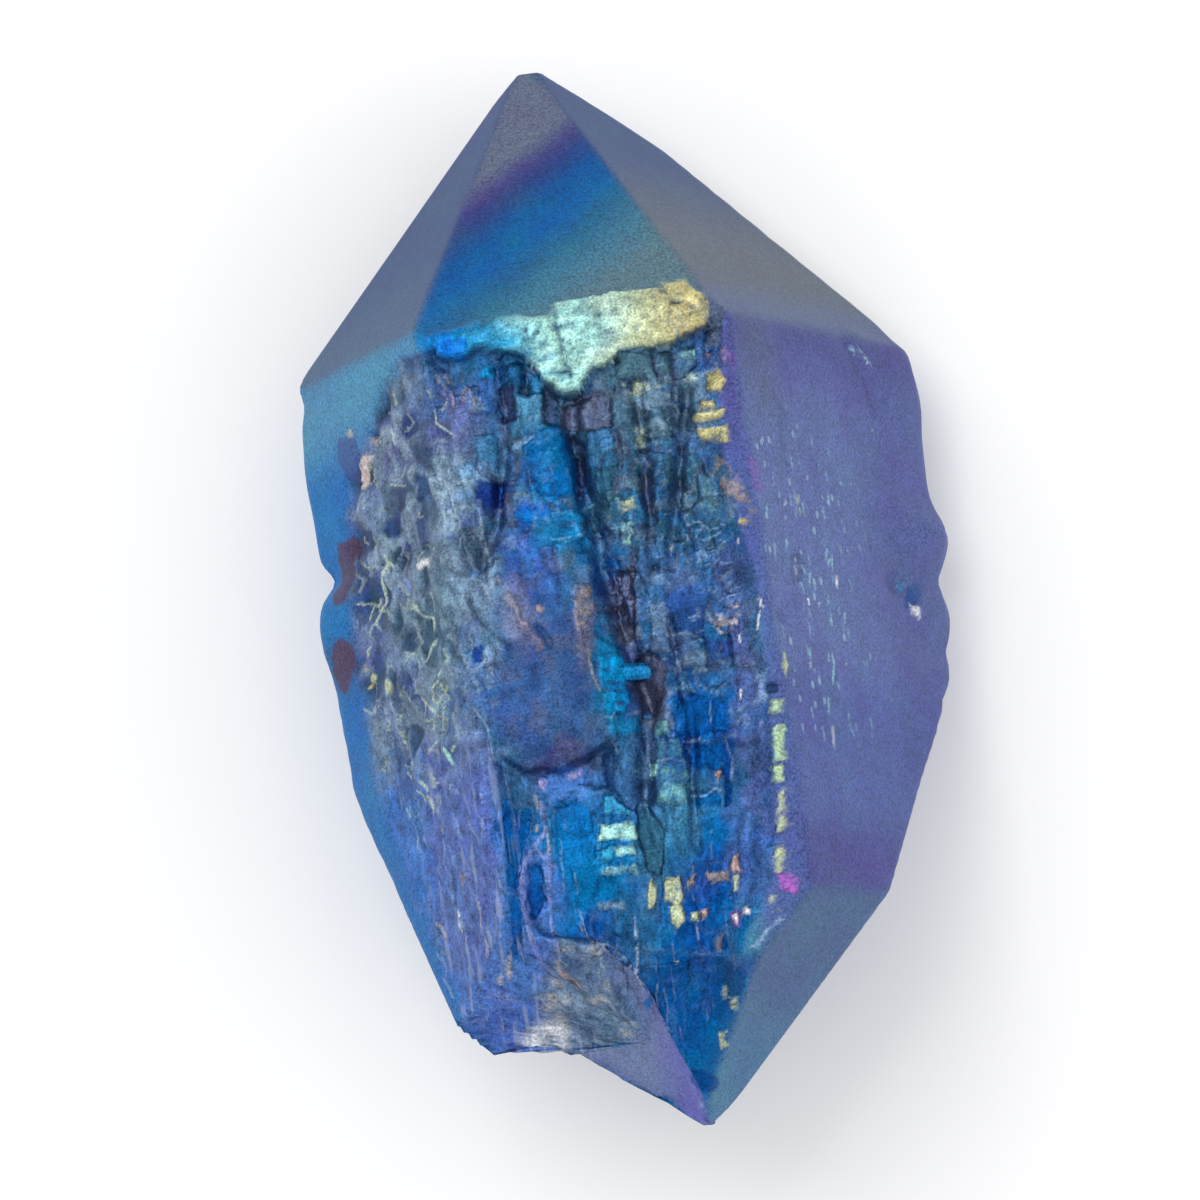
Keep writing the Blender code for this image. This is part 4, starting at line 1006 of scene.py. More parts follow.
def etched_form(x, y):
    """Height of the etched upper side: blocks, terraces, lump, undercut step and grooves."""
    fade = smooth(*ROOT_FADE, y)
    lump = lump_cover(x, y)
    steps = growth_steps(x, y)
    level = terraces(x, y)[0]
    blocks = step_form(steps)[0] - SEAM_DEPTH * step_seams(steps) + TERRACE_RISE * level
    shoulder = np.interp(y, BORDER_Y, SHOULDER)
    right = np.interp(y, BORDER_Y, BORDER_RIGHT)
    inner = 0.35 + 0.65 * smooth(-0.2, 1.1, x - shoulder) * smooth(0.1, 0.8, right - x)
    form = -ETCH_DEPTH * (0.3 + 0.7 * fade) * inner
    form = form + calm_share(x, y, lump) * fade * blocks * (0.5 + 0.5 * inner)
    form = form + LUMP_RISE * lump * smooth(step_line(x) - 0.05, step_line(x) + 0.10, y)
    form = form - STEP_DROP * past_step(x, y) + WIDE_SWELL * noise(x, y, 1.6, 21)
    form = form + FINE_SWELL * cloud(x * 1.6, y, 0.55, 27) * (1.0 - 0.6 * lump)
    for path, half_width, depth in GROOVES:
        gap = path_distance(x - FORMS_SHIFT, y, path)
        form = form - depth * np.exp(-(gap / half_width) ** 2)
    return form


def flank_form(x, y):
    """Height of the etched left flank: shallow scales and long folds."""
    i, j, du, dv, gap = flank_scales(x, y)
    scales = 0.22 * ((chance(i, j, 35) - 0.5) * du + (chance(i, j, 36) - 0.5) * dv)
    form = -LEFT_ETCH_DEPTH + 0.09 * noise(x * 1.8, y, 0.9, 31) + 0.07 * noise(x, y, 2.1, 32)
    form = form + scales * smooth(-8.0, -4.0, y) + 0.05 * cloud(x * 2.5, y, 0.6, 38)
    return form + FOLD_RISE * flank_ridges(x, y)


def relief(x, y, z):
    """Height of the surface above the crystal's flat faces, at points on those faces."""
    up = smooth(*ETCH_HEIGHT, z)
    upper, flank = etched_cover(x, y)
    height = up * (upper * etched_form(x, y) + flank * flank_form(x, y))
    height = height + up * ledge_cover(x, y) * ledge_form(x, y)
    for px, py, half, depth in PITS:
        pit = np.exp(-(((x - px) ** 2 + (y - py) ** 2) / half ** 2))
        height = height - up_to_edge(z) * depth * pit
    return height


def ledge_crumples(x, y):
    """The small crumples of the ledge, as cells."""
    return cells(x + 0.1 * noise(x, y, 0.4, 44), y, 0.34, 0.26, 42)


def ledge_form(x, y):
    """Height of the ledge: crumpled like foil, with cracks."""
    i, j, du, dv, gap = ledge_crumples(x, y)
    crumple = (chance(i, j, 45) - 0.5) * du + (chance(i, j, 46) - 0.5) * dv
    form = 0.12 + 0.06 * noise(x, y, 0.7, 41) + 0.20 * crumple + 0.03 * noise(x, y, 0.16, 47)
    for path, half in LEDGE_CRACKS:
        gap = path_distance(x, y, placed(path))
        form = form - 0.12 * np.exp(-(gap / (0.7 * half)) ** 2)
    return form


def side_forms(x, y, z):
    """Bulges and nicks of the two side edges."""
    height = np.zeros(x.shape)
    for side, at, half, size in SIDE_FORMS:
        near = np.exp(-((y - at) / half) ** 2 - ((z - EDGE_HEIGHT[side]) / EDGE_HALF) ** 2)
        height = height + size * near * (np.sign(x) == side) * (np.abs(x) > EDGE_FROM)
    return height * up_to_edge(z)


def break_form(x, y, z, share):
    """Hollows and lumps of the broken foot, where share is how much of a point is on it."""
    across = (x - HOLLOW[0]) / HOLLOW_HALF[0]
    along = (z - HOLLOW[1]) / HOLLOW_HALF[1]
    rough = noise(x, z + 0.5 * y, 1.0, 51) + 0.6 * noise(x, z, 0.45, 52)
    rough = rough + 0.4 * noise(x, z + y, 0.2, 53)
    return share * (ROUGH_BREAK * rough - HOLLOW_DEPTH * np.exp(-across ** 2 - along ** 2))


def heart_line(y):
    """Points of the inner line at the given places along the crystal."""
    order = (ROOT_TIP, ROOT_HEART, HEART, MAIN_TIP)
    places = [point[1] for point in order]
    x = np.interp(y, places, [point[0] for point in order])
    z = np.interp(y, places, [point[2] for point in order])
    return x, z


def ring_angles():
    """Directions around the heart line, closest together over the etched side."""
    fine = np.linspace(-math.pi, math.pi, 14401)[:-1]
    points = crystal_surface(np.full(fine.shape, HEART[1]), fine)[0]
    x = points[:, 0]
    z = points[:, 2]
    length = np.hypot(np.diff(x, append=x[0]), np.diff(z, append=z[0]))
    step = np.where(x > 4.9, 1.2 * GRID_STEP, GRID_STEP)
    step = np.where(z < 3.0, 1.7 * GRID_STEP, step)
    step = np.where(z < 0.2, UNDER_STEP, step)
    count = np.concatenate(([0.0], np.cumsum(length / step)))
    total = int(round(count[-1]))
    return np.interp(np.arange(total) * count[-1] / total, count[:-1], fine)


def ring_rows():
    """Places of the rings along the crystal."""
    first = ROOT_TIP[1] + END_GAP
    last = MAIN_TIP[1] - END_GAP
    return np.linspace(first, last, int((last - first) / GRID_STEP))


def convex_part(y, angle, faces):
    """Distance from the heart line to one convex part, and each face's share of the point."""
    normals, reach = faces
    cx, cz = heart_line(y)
    gap = reach - np.stack([cx, y, cz], axis=-1) @ normals.T
    facing = np.stack([np.sin(angle), np.zeros(angle.shape), np.cos(angle)], axis=-1) @ normals.T
    ahead = facing > 1e-4
    distance = np.where(ahead, gap / np.where(ahead, facing, 1.0), 1e6)
    nearest = distance.min(axis=1, keepdims=True)
    to_tip = np.minimum(MAIN_TIP[1] - y, y - ROOT_TIP[1])
    edge_angle = np.arctan2(SHOULDER_EDGE[0] - cx, SHOULDER_EDGE[1] - cz)
    worn = np.exp(-((angle - edge_angle) / SHOULDER_SPREAD) ** 2)
    worn = worn * smooth(*SHOULDER_ENDS[0], y) * smooth(*SHOULDER_ENDS[1], y)
    rounding = EDGE_ROUND + TIP_ROUND * smooth(TIP_WAY, 0.0, to_tip) + SHOULDER_WEAR * worn
    rounding = rounding[:, None]
    weight = np.exp(-(distance - nearest) / rounding)
    total = weight.sum(axis=1, keepdims=True)
    inside = (gap > 0.0).all(axis=1)
    radius = np.where(inside, (nearest - rounding * np.log(total))[:, 0], 0.0)
    return np.maximum(radius, 0.02), weight / total


def crystal_surface(y, angle):
    """Points of the rounded crystal, their normals and their share of each face."""
    pointed = face_list(BODY_FACES, POINTED_FACES)
    stump = face_list(BODY_FACES, STUMP_FACES)
    radius, share = convex_part(y, angle, pointed)
    stump_radius, stump_share = convex_part(y, angle, stump)
    on_stump = smooth(-0.15, 0.15, stump_radius - radius)
    normal = share @ pointed[0] * (1.0 - on_stump[:, None])
    normal = normal + stump_share @ stump[0] * on_stump[:, None]
    normal = normal / np.linalg.norm(normal, axis=1, keepdims=True)
    radius = np.maximum(radius, stump_radius)
    cx, cz = heart_line(y)
    points = np.stack([cx + radius * np.sin(angle), y, cz + radius * np.cos(angle)], axis=-1)
    names = list(BODY_FACES)
    shares = {}
    for k, name in enumerate(names):
        shares[name] = share[:, k] * (1.0 - on_stump) + stump_share[:, k] * on_stump
    for k, name in enumerate(POINTED_FACES):
        shares[name] = share[:, len(names) + k] * (1.0 - on_stump)
    for k, name in enumerate(STUMP_FACES):
        shares[name] = stump_share[:, len(names) + k] * on_stump
    return points, normal, shares


def mix(colour, cover, name):
    """Paint a named colour over what is there."""
    return colour + (linear(name) - colour) * cover[..., None]


def spot(x, y, cx, cy, half_x, half_y, edge=0.5, seed=71):
    """A soft, slightly ragged oval patch."""
    reach = np.hypot((x - cx) / half_x, (y - cy) / half_y) + 0.16 * noise(x, y, 0.5, seed)
    return smooth(1.0 + edge / 2, 1.0 - edge / 2, reach)


def near_form(x, y, points, margin):
    """Which points are within a margin of the box around a form."""
    low_x, low_y = np.min(points, axis=0) - margin
    high_x, high_y = np.max(points, axis=0) + margin
    return np.nonzero((x > low_x) & (x < high_x) & (y > low_y) & (y < high_y))[0]


def scattered_strokes():
    """Short bent strokes scattered over parts of the crystal, in mm."""
    strokes = []
    for kind, zone in enumerate(SCATTERED):
        name, strength, half, rise, low_x, high_x, low_y, high_y, gap_x, gap_y, length, turn, spread = zone
        for i in range(int((high_x - low_x) / gap_x)):
            for j in range(int((high_y - low_y) / gap_y)):
                pick = [float(chance(i + 50.0 * kind, j, 140 + k)) for k in range(7)]
                if pick[0] < 0.35:
                    continue
                x = low_x + (i + pick[1]) * gap_x
                y = low_y + (j + pick[2]) * gap_y
                long = length * (0.5 + pick[3])
                first = math.radians(turn + spread * (pick[4] - 0.5))
                second = math.radians(turn + spread * (pick[5] - 0.5))
                bend = (x + 0.5 * long * math.sin(first), y + 0.5 * long * math.cos(first))
                end = (bend[0] + 0.5 * long * math.sin(second), bend[1] + 0.5 * long * math.cos(second))
                strokes.append((name, strength * (0.5 + 0.5 * pick[6]), half, rise, ((x, y), bend, end)))
    return tuple(strokes)


@functools.cache
def all_strokes():
    """The strokes taken from the photo, placed, with half widths in mm; then the scattered ones."""
    strokes = []
    for name, strength, width, rise, route in STROKES:
        strokes.append((name, strength, round(width * PHOTO_SCALE / 2, 3), rise, placed(route)))
    return tuple(strokes) + scattered_strokes()


def form_covers(x, y):
    """Every plate and stroke in turn: its colour, rise, the points it covers and how much."""
    for name, strength, speckled, rise, outline in PLATES:
        corners = placed(outline)
        at = near_form(x, y, corners, 0.2)
        px = x[at]
        py = y[at]
        ragged = 0.045 * noise(px, py, 0.20, 72) + 0.02 * noise(px, py, 0.09, 73)
        cover = smooth(0.03, -0.03, outline_distance(px, py, corners) + ragged)
        grain = 0.6 * noise(px, py, 0.17, 74) + 0.4 * noise(px, py, 0.08, 75)
        fill = 1.6 * speckled
        kept = 1.0 - smooth(0.25, -0.05, grain + 0.75 * (1.0 - fill)) * min(1.0, fill)
        yield name, rise, at, strength * cover * kept, cover
    for name, strength, half, rise, route in all_strokes():
        at = near_form(x, y, route, half + 0.15)
        px = x[at]
        py = y[at]
        wavy = 0.4 * half * noise(px, py, 0.25, 76)
        cover = smooth(1.5 * half, 0.45 * half, path_distance(px, py, route) + wavy)
        if half < THIN_STROKE:
            broken = smooth(-0.45, 0.05, noise(px, py, 0.45, 77))
            patchy = 1.0
        else:
            broken = smooth(-0.75, -0.35, noise(px, py, 0.3, 77))
            patchy = 0.55 + 0.45 * smooth(-0.3, 0.3, noise(px, py, 0.22, 78))
        yield name, 0.5 * rise, at, strength * cover * broken * patchy, cover * broken


def form_edges(x, y):
    """Distance in plan to the nearest edge of a plate or stroke, up to a short way off."""
    best = np.full(x.shape, 1.0)
    for name, strength, speckled, rise, outline in PLATES:
        corners = placed(outline)
        at = near_form(x, y, corners, 0.15)
        gap = np.abs(outline_distance(x[at], y[at], corners))
        best[at] = np.minimum(best[at], gap)
    for name, strength, half, rise, route in all_strokes():
        at = near_form(x, y, route, half + 0.15)
        gap = np.maximum(path_distance(x[at], y[at], route) - half, 0.0)
        best[at] = np.minimum(best[at], gap)
    return best


def bands(way, stops):
    """Colours that follow one another along a way, one named colour at each stop."""
    table = np.array([linear(name) for name, place in stops])
    places = [place for name, place in stops]
    return np.stack([np.interp(way, places, table[:, c]) for c in range(3)], axis=-1)


def past_line(x, y, line):
    """How far points are past a line in plan, given as a point and the way across it."""
    (px, py), (wx, wy) = line
    return wx * (x - px) + wy * (y - py)


def upper_tip_colour(x, y):
    """Bands across the upper tip face: mauve at the tip, then violet, blue and teal."""
    way = past_line(x, y, TIP_LINE) + 0.14 * cloud(x, y, 1.6, 81) + 0.05 * noise(x, y, 0.25, 84)
    return bands(way, TIP_BANDS)


def within(places, ranges):
    """How far points are inside all the given ranges, 0 to 1."""
    cover = 1.0
    for place, low, high in ranges:
        cover = cover * smooth(low, high, places[place])
    return cover


def face_colours(x, y, z, shares):
    """Colour of the coating on the crystal's flat faces."""
    slow = cloud(x + 0.6 * z, y, 3.2, 82)
    places = {"x": x, "y": y, "cloudy y": y + 0.4 * slow, "slow": slow}
    colour = np.zeros(x.shape + (3,))
    for face, cover in shares.items():
        tone = np.broadcast_to(linear(FACE_TONES[face]), x.shape + (3,)).copy()
        if face == "upper tip":
            tone = upper_tip_colour(x, y)
        washes = [wash[1:] for wash in FACE_WASHES if wash[0] == face]
        if face in HIDDEN_FACES:
            washes += HIDDEN_WASHES
        for name, strength, ranges in washes:
            tone = mix(tone, strength * within(places, ranges), name)
        colour = colour + tone * cover[..., None]
    return colour / np.maximum(sum(shares.values()), 1e-6)[..., None]


def flank_colour(x, y):
    """The left flank: slate and teal scales, violet along its border, lavender below."""
    wx = x + 0.25 * noise(x, y, 0.9, 91)
    colour = np.broadcast_to(linear("slate"), x.shape + (3,)).copy()
    border = np.interp(y, BORDER_Y, BORDER_LEFT)
    colour = mix(colour, smooth(border + 1.5, border + 0.2, wx) * smooth(-5.0, 0.0, y) * 0.75, "plum")
    colour = mix(colour, smooth(-2.6, -6.0, y) * 0.9, "lavender")
    colour = mix(colour, spot(x, y, -6.7, -6.7, 1.2, 1.9, 1.2) * 0.9, "blue violet")
    return mix(colour, smooth(-9.0, -12.0, y) * 0.7, "left low")


def paint_scales(colour, x, y, flank):
    """Folds and scales of the flank, with painted highlight on the fold crests and painted shade in the
    troughs.
    """
    i, j, du, dv, gap = flank_scales(x, y)
    scaly = flank * smooth(-6.0, -3.0, y)
    fold = flank_ridges(x, y)
    # Painted highlight on the crests of the folds
    crests = smooth(0.15, 0.8, fold + 0.5 * noise(x * 1.5, y, 1.3, 106))
    colour = mix(colour, 0.75 * scaly * crests, "pale slate")
    # Painted shade in the troughs between the folds
    trough_shade = smooth(0.05, -0.6, fold + 0.6 * noise(x, y, 0.9, 107))
    colour = mix(colour, 0.85 * scaly * trough_shade, "deep teal")
    colour = mix(colour, 0.45 * scaly * smooth(0.2, 0.7, noise(x * 1.4, y, 0.7, 108)), "dusk")
    for draw, left_out, strength, name in SCALE_TONES:
        colour = mix(colour, strength * scaly * (chance(i, j, draw) > left_out), name)
    return colour


def paint_blocks(colour, x, y, upper):
    """Small changes from block to block, the rims of the terraces and painted shade in the seams."""
    steps = growth_steps(x, y)
    form, layer, half = step_form(steps)
    pick = chance(steps["column"] * 3 + half, steps["step"] * 4 + layer, 97)
    calm = upper * (1.0 - LUMP_CALM * lump_cover(x, y)) * (1.0 - 0.75 * smooth(-4.0, -7.0, y))
    for low, high, name, strength in BLOCK_TONES:
        colour = mix(colour, strength * calm * ((pick >= low) & (pick < high)), name)
    level, rim = terraces(x, y)
    shade = 0.45 * (chance(steps["column"] * 2 + half, steps["step"] * 3 + layer, 98) - 0.5)
    shade = shade + 0.30 * (chance(np.floor(level), 3, 102) - 0.5)
    colour = colour * (1.0 + calm * shade)[..., None]
    colour = mix(colour, 0.35 * calm * rim * (noise(x, y, 0.7, 103) > 0.1), "pale slate")
    # Painted shade in the seams between blocks
    return mix(colour, 0.12 * calm * step_seams(steps), "dark")


def paint_lump(colour, x, y, upper):
    """Brown and slate patches on the lump, and a dark line of painted shade under it, past the undercut
    step.
    """
    lump = upper * lump_cover(x, y)
    patchy = noise(x * 1.4, y, 0.6, 109) + 0.6 * noise(x, y, 0.22, 120)
    colour = mix(colour, 0.45 * lump * smooth(0.1, 0.9, patchy), "brown")
    colour = mix(colour, 0.45 * lump * smooth(-0.1, -0.9, patchy), "navy slate")
    # Painted shade just past the undercut step, under the lump
    under = np.exp(-((y - step_line(x) + 0.08) / 0.12) ** 2)
    under = under * smooth(-3.2, -2.3, x) * smooth(-0.9, -1.4, x)
    return mix(colour, 0.30 * under, "dark plum")


def etched_colour(x, y, upper, flank):
    """The etched upper side and flank, changed a little from block to block, with painted shade in the
    grooves.
    """
    wx = x + 0.22 * noise(x, y, 0.8, 94) + 0.12 * noise(x, y, 0.3, 95)
    wy = y + 0.22 * noise(x, y, 0.9, 96) + 0.10 * noise(x, y, 0.3, 90)
    colour = np.broadcast_to(linear("denim"), x.shape + (3,)).copy()
    colour = mix(colour, smooth(-6.0, -8.0, y), "azure")
    on_flank = (flank / np.maximum(upper + flank, 1e-6))[:, None]
    colour = colour + (flank_colour(x, y) - colour) * on_flank
    for px, py, half_wide, half_tall, name, strength in SOFT_PATCHES:
        cx, cy = from_photo(px, py)
        half_x = round(half_wide * PHOTO_SCALE, 2)
        half_y = round(half_tall * PHOTO_SCALE, 2)
        at = near_form(x, y, ((cx - half_x, cy - half_y), (cx + half_x, cy + half_y)), 0.8)
        cover = strength * spot(wx[at], wy[at], cx, cy, half_x, half_y, 0.7)
        colour[at] = mix(colour[at], cover, name)
    colour = paint_scales(colour, x, y, flank)
    colour = paint_blocks(colour, x, y, upper)
    mottle = 0.16 * cloud(x, y, 0.30, 104) + 0.10 * noise(x * 2.5, y, 0.22, 105)
    colour = colour * (1.0 + mottle)[:, None]
    # Painted shade in the grooves, darker where they are deeper
    for path, half_width, depth in GROOVES:
        gap = path_distance(x - FORMS_SHIFT, y, path)
        near = np.exp(-(gap / (0.8 * half_width)) ** 2)
        colour = mix(colour, 0.35 * near * depth / GROOVES[0][2], "brown")
    return paint_lump(colour, x, y, upper)


def ledge_colour(x, y):
    """The ledge: azure at its left end, then cyan, mint and gold, made pale and bright as a painted
    highlight, crumpled, with painted shade in its cracks.
    """
    colour = bands(x + 0.5 * noise(x, y, 0.8, 111) - 0.2 * (y - 7.0), LEDGE_BANDS)
    i, j, du, dv, gap = ledge_crumples(x, y)
    colour = colour * (0.80 + 0.36 * chance(i, j, 112) + 0.12 * noise(x, y, 0.15, 114))[..., None]
    colour = mix(colour, 0.5 * smooth(0.12, 0.0, gap) * (chance(i, j, 113) > 0.45), "teal wash")
    streak = smooth(0.15, 0.55, noise(x, y * 2.2, 0.5, 115)) * smooth(0.8, -1.5, x)
    colour = mix(colour, 0.55 * streak, "sea")
    shadow = smooth(0.25, 0.75, noise(x, y * 1.5, 0.35, 118) + 0.3 * noise(x, y, 0.12, 119))
    colour = mix(colour, 0.40 * shadow, "deep teal")
    broken = smooth(-0.7, -0.1, noise(x, y, 0.5, 117))
    # Painted shade in the ledge's cracks
    for path, half in LEDGE_CRACKS:
        crack_shade = np.exp(-(path_distance(x, y, placed(path)) / (0.8 * half)) ** 2)
        colour = mix(colour, 0.9 * broken * crack_shade, "dark")
    return colour


def paint_break(colour, points, share):
    """The broken foot: a grey, speckled middle between two coated sides, and a pale patch."""
    x, y, z = points.T
    ragged = 0.25 * noise(x, y, 0.5, 124) + 0.12 * noise(x, y, 0.2, 125)
    beyond = smooth(-0.1, 0.15, past_line(x, y, BREAK_RIGHT) + 0.3 * ragged)
    before = smooth(-0.25, 0.25, past_line(x, y, BREAK_LEFT) + ragged)
    colour = mix(colour, share * beyond, "purple facet")
    colour = mix(colour, share * before, "left low")
    broken = share * (1.0 - beyond) * (1.0 - 0.8 * before)
    mottle = cloud(x, z, 0.55, 122) + 0.6 * noise(x, z + y, 0.22, 123)
    mottle = mottle + 0.3 * noise(x, z, 0.11, 126)
    colour = mix(colour, broken * smooth(0.15, 0.9, mottle) * 0.65, "cream")
    colour = mix(colour, broken * smooth(-0.1, -0.8, mottle) * 0.60, "navy slate")
    white = spot(x, y, *BREAK_PALE) * smooth(-0.9, -0.3, noise(x, y, 0.3, 127)) * share
    colour = mix(colour, 0.95 * white, "white")
    flecks = smooth(0.35, 0.8, noise(x, y + z, 0.14, 131) + 0.5 * noise(x, y, 0.5, 132)) * broken
    return mix(colour, 0.5 * flecks, "pale slate")


def crystal_paint(points, shares):
    """Colour of the whole crystal from its faces and the forms on them, and the forms' rise."""
    x, y, z = points.T
    up = smooth(*PAINT_HEIGHT, z)
    colour = face_colours(x, y, z, shares)
    upper, flank = etched_cover(x, y)
    open_face = up * (1.0 - shares["break"]) * (1.0 - shares["left root"])
    etching = etched_colour(x, y, upper, flank)
    colour = colour + (etching - colour) * (open_face * np.clip(upper + flank, 0.0, 1.0))[:, None]
    colour = colour + (ledge_colour(x, y) - colour) * (up * ledge_cover(x, y))[:, None]
    uneven = cloud(x, 0.6 * y, 1.1, 128) + noise(x * 3.0, y, 0.7, 129) + noise(x * 2.0, y, 0.25, 130)
    colour = colour * (1.0 + 0.05 * shares["right prism"] * uneven)[:, None]
    colour = paint_break(colour, points, shares["break"])
    lift = np.zeros(x.shape)
    in_view = smooth(*FORMS_HEIGHT, z)
    for name, rise, at, cover, body in form_covers(x, y):
        colour[at] = mix(colour[at], np.clip(cover, 0.0, 1.0) * in_view[at], name)
        lift[at] = lift[at] + rise * body * in_view[at]
    return np.clip(colour, 0.0, 1.0), lift


def crystal_finish(points):
    """Roughness, metal share and grain of the coating, as the three parts of a colour."""
    x, y, z = points.T
    up = smooth(*FINISH_HEIGHT, z)
    upper, flank = etched_cover(x, y)
    steps = growth_steps(x, y)
    block = chance(steps["column"], steps["step"], 131)
    rough = 0.56 - 0.14 * up * upper * block - 0.14 * up * ledge_cover(x, y)
    metal = 0.72 + 0.16 * up * upper
    grain = 0.5 + 0.5 * up * np.clip(upper + flank, 0, 1)
    return np.stack([rough, metal, grain], axis=-1)


def crystal_marks(points, shares):
    """Where the fine patterns go: mottling in the etching, dashes on the right, streaks."""
    x, y, z = points.T
    up = smooth(*FINISH_HEIGHT, z)
    upper, flank = etched_cover(x, y)
    mottled = up * np.clip(0.8 * upper + flank, 0, 1) * (1.0 - 0.8 * lump_cover(x, y))
    mottled = mottled * smooth(-14.0, -12.0, y)
    right_face = shares["right prism"] * smooth(1.5, 3.0, z)
    dashes = right_face * smooth(8.4, 6.6, x) * smooth(-6.2, -3.5, y) * smooth(5.2, 3.2, y)
    streaks = up * np.clip(flank + 0.6 * upper * smooth(-3.4, -4.4, x), 0, 1)
    streaks = streaks * smooth(-2.5, -5.5, y)
    return np.clip(np.stack([mottled, dashes, streaks], axis=-1), 0.0, 1.0)


def split_faces(grid, wanted):
    """Split each wanted face of a grid of directions and places into four."""
    grid.faces.ensure_lookup_table()
    edges = {edge for index in wanted for edge in grid.faces[index].edges}
    bmesh.ops.subdivide_edges(grid, edges=list(edges), cuts=1, use_grid_fill=True)


def face_middles(grid):
    """The place on the crystal of the middle of each face."""
    grid.verts.index_update()
    middles = np.array([face.calc_center_median()[:2] for face in grid.faces])
    return crystal_surface(middles[:, 1], middles[:, 0])[0]


def crystal_grid():
    """A closed grid of directions and places, split where the etching and its forms are."""
    rows = ring_rows()
    angles = ring_angles()
    row_count = len(rows)
    ring_count = len(angles)
    ring = np.arange(ring_count)
    after = (ring + 1) % ring_count
    start = np.arange(row_count - 1)[:, None] * ring_count
    above = start + ring_count
    quads = np.stack([start + ring, above + ring, above + after, start + after], axis=-1)
    root = row_count * ring_count
    last = (row_count - 1) * ring_count
    root_fan = np.stack([np.full(ring_count, root), ring, after], axis=-1)
    main_fan = np.stack([np.full(ring_count, root + 1), last + after, last + ring], axis=-1)
    places = [(angle, row, 0.0) for row in rows for angle in angles]
    places += [(0.0, ROOT_TIP[1], 0.0), (0.0, MAIN_TIP[1], 0.0)]
    mesh = bpy.data.meshes.new("aura_quartz")
    mesh.from_pydata(places, [], quads.reshape(-1, 4).tolist() + root_fan.tolist() + main_fan.tolist())
    grid = bmesh.new()
    grid.from_mesh(mesh)

    x, y, z = face_middles(grid).T
    upper, flank = etched_cover(x, y)
    etched = upper + flank + ledge_cover(x, y) > 0.02
    near = form_edges(x, y) < FINE_NEAR
    split_faces(grid, np.nonzero((z > FINE_FROM) & (etched | near))[0])
    x, y, z = face_middles(grid).T
    near = form_edges(x, y) < FINEST_NEAR
    split_faces(grid, np.nonzero((z > FINEST_FROM) & near)[0])
    grid.to_mesh(mesh)
    grid.free()
    return mesh, root


def make_crystal():
    """The whole crystal as one closed mesh, with its colours on its points."""
    mesh, root = crystal_grid()
    places = np.empty(len(mesh.vertices) * 3)
    mesh.vertices.foreach_get("co", places)
    places = places.reshape(-1, 3)
    y = np.clip(places[:, 1], ROOT_TIP[1] + END_GAP, MAIN_TIP[1] - END_GAP)
    flat, normal, shares = crystal_surface(y, places[:, 0])
    colour, lift = crystal_paint(flat, shares)
    x, y, z = flat.T
    height = relief(x, y, z) * (1.0 - shares["break"]) + lift
    height = height + side_forms(x, y, z) + break_form(x, y, z, shares["break"])
    ends = smooth(MAIN_TIP[1], MAIN_TIP[1] - END_FADE, y)
    ends = ends * smooth(ROOT_TIP[1], ROOT_TIP[1] + END_FADE, y)
    points = flat + normal * (height * ends)[:, None]
    points[:, 2] = np.maximum(points[:, 2], 0.0)
    points[root] = ROOT_TIP
    points[root + 1] = MAIN_TIP

    centre = (points.min(axis=0) + points.max(axis=0)) / 2
    low, high = (np.array(corner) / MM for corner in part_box(NODE))
    shift = (low + high) / 2 - centre
    shift[2] = 0.0
    mesh.vertices.foreach_set("co", ((points + shift) * MM).ravel())
    layers = {"coat": colour, "finish": crystal_finish(flat), "marks": crystal_marks(flat, shares)}
    for name, values in layers.items():
        rgba = np.concatenate([values, np.ones((len(values), 1))], axis=1)
        layer = mesh.color_attributes.new(name, "FLOAT_COLOR", "POINT")
        layer.data.foreach_set("color", rgba.ravel())
    mesh.shade_smooth()
    mesh.update()
    crystal = bpy.data.objects.new("aura_quartz", mesh)
    bpy.context.collection.objects.link(crystal)
    return crystal, shift


class Nodes:
    """A short way to write shader nodes."""

    def __init__(self, material):
        material.use_nodes = True
        self.material = material
        self.tree = material.node_tree
        self.shader = self.tree.nodes["Principled BSDF"]

    def new(self, kind, settings=None, **inputs):
        """A node with settings, and inputs given as values or as sockets to link."""
        node = self.tree.nodes.new(kind)
        for key, value in (settings or {}).items():
            setattr(node, key, value)
        for key, value in inputs.items():
            socket = int(key[1:]) if key[1:].isdigit() else key
            self.put(node.inputs[socket], value)
        return node

    def put(self, socket, value):
        """Set an input, or link to it."""
        if isinstance(value, bpy.types.NodeSocket):
            self.tree.links.new(value, socket)
        else:
            socket.default_value = value

    def math(self, operation, a, b=0.0):
        """One arithmetic step."""
        return self.new("ShaderNodeMath", {"operation": operation}, i0=a, i1=b).outputs[0]

    def rise(self, value, low, high):
        """Smooth rise from 0 at low to 1 at high."""
        node = self.new("ShaderNodeMapRange", {"interpolation_type": "SMOOTHSTEP"}, Value=value)
        node.inputs["From Min"].default_value = low
        node.inputs["From Max"].default_value = high
        return node.outputs["Result"]

    def blend(self, cover, under, over):
        """Paint one colour over another."""
        node = self.tree.nodes.new("ShaderNodeMix")
        node.data_type = "RGBA"
        self.put(node.inputs[0], cover)
        self.put(node.inputs[6], under)
        self.put(node.inputs[7], over)
        return node.outputs[2]

    def layer(self, name):
        """A layer of values kept on the mesh."""
        return self.new("ShaderNodeVertexColor", {"layer_name": name}).outputs["Color"]

    def parts(self, colour):
        """The three parts of a colour."""
        return self.new("ShaderNodeSeparateColor", Color=colour).outputs


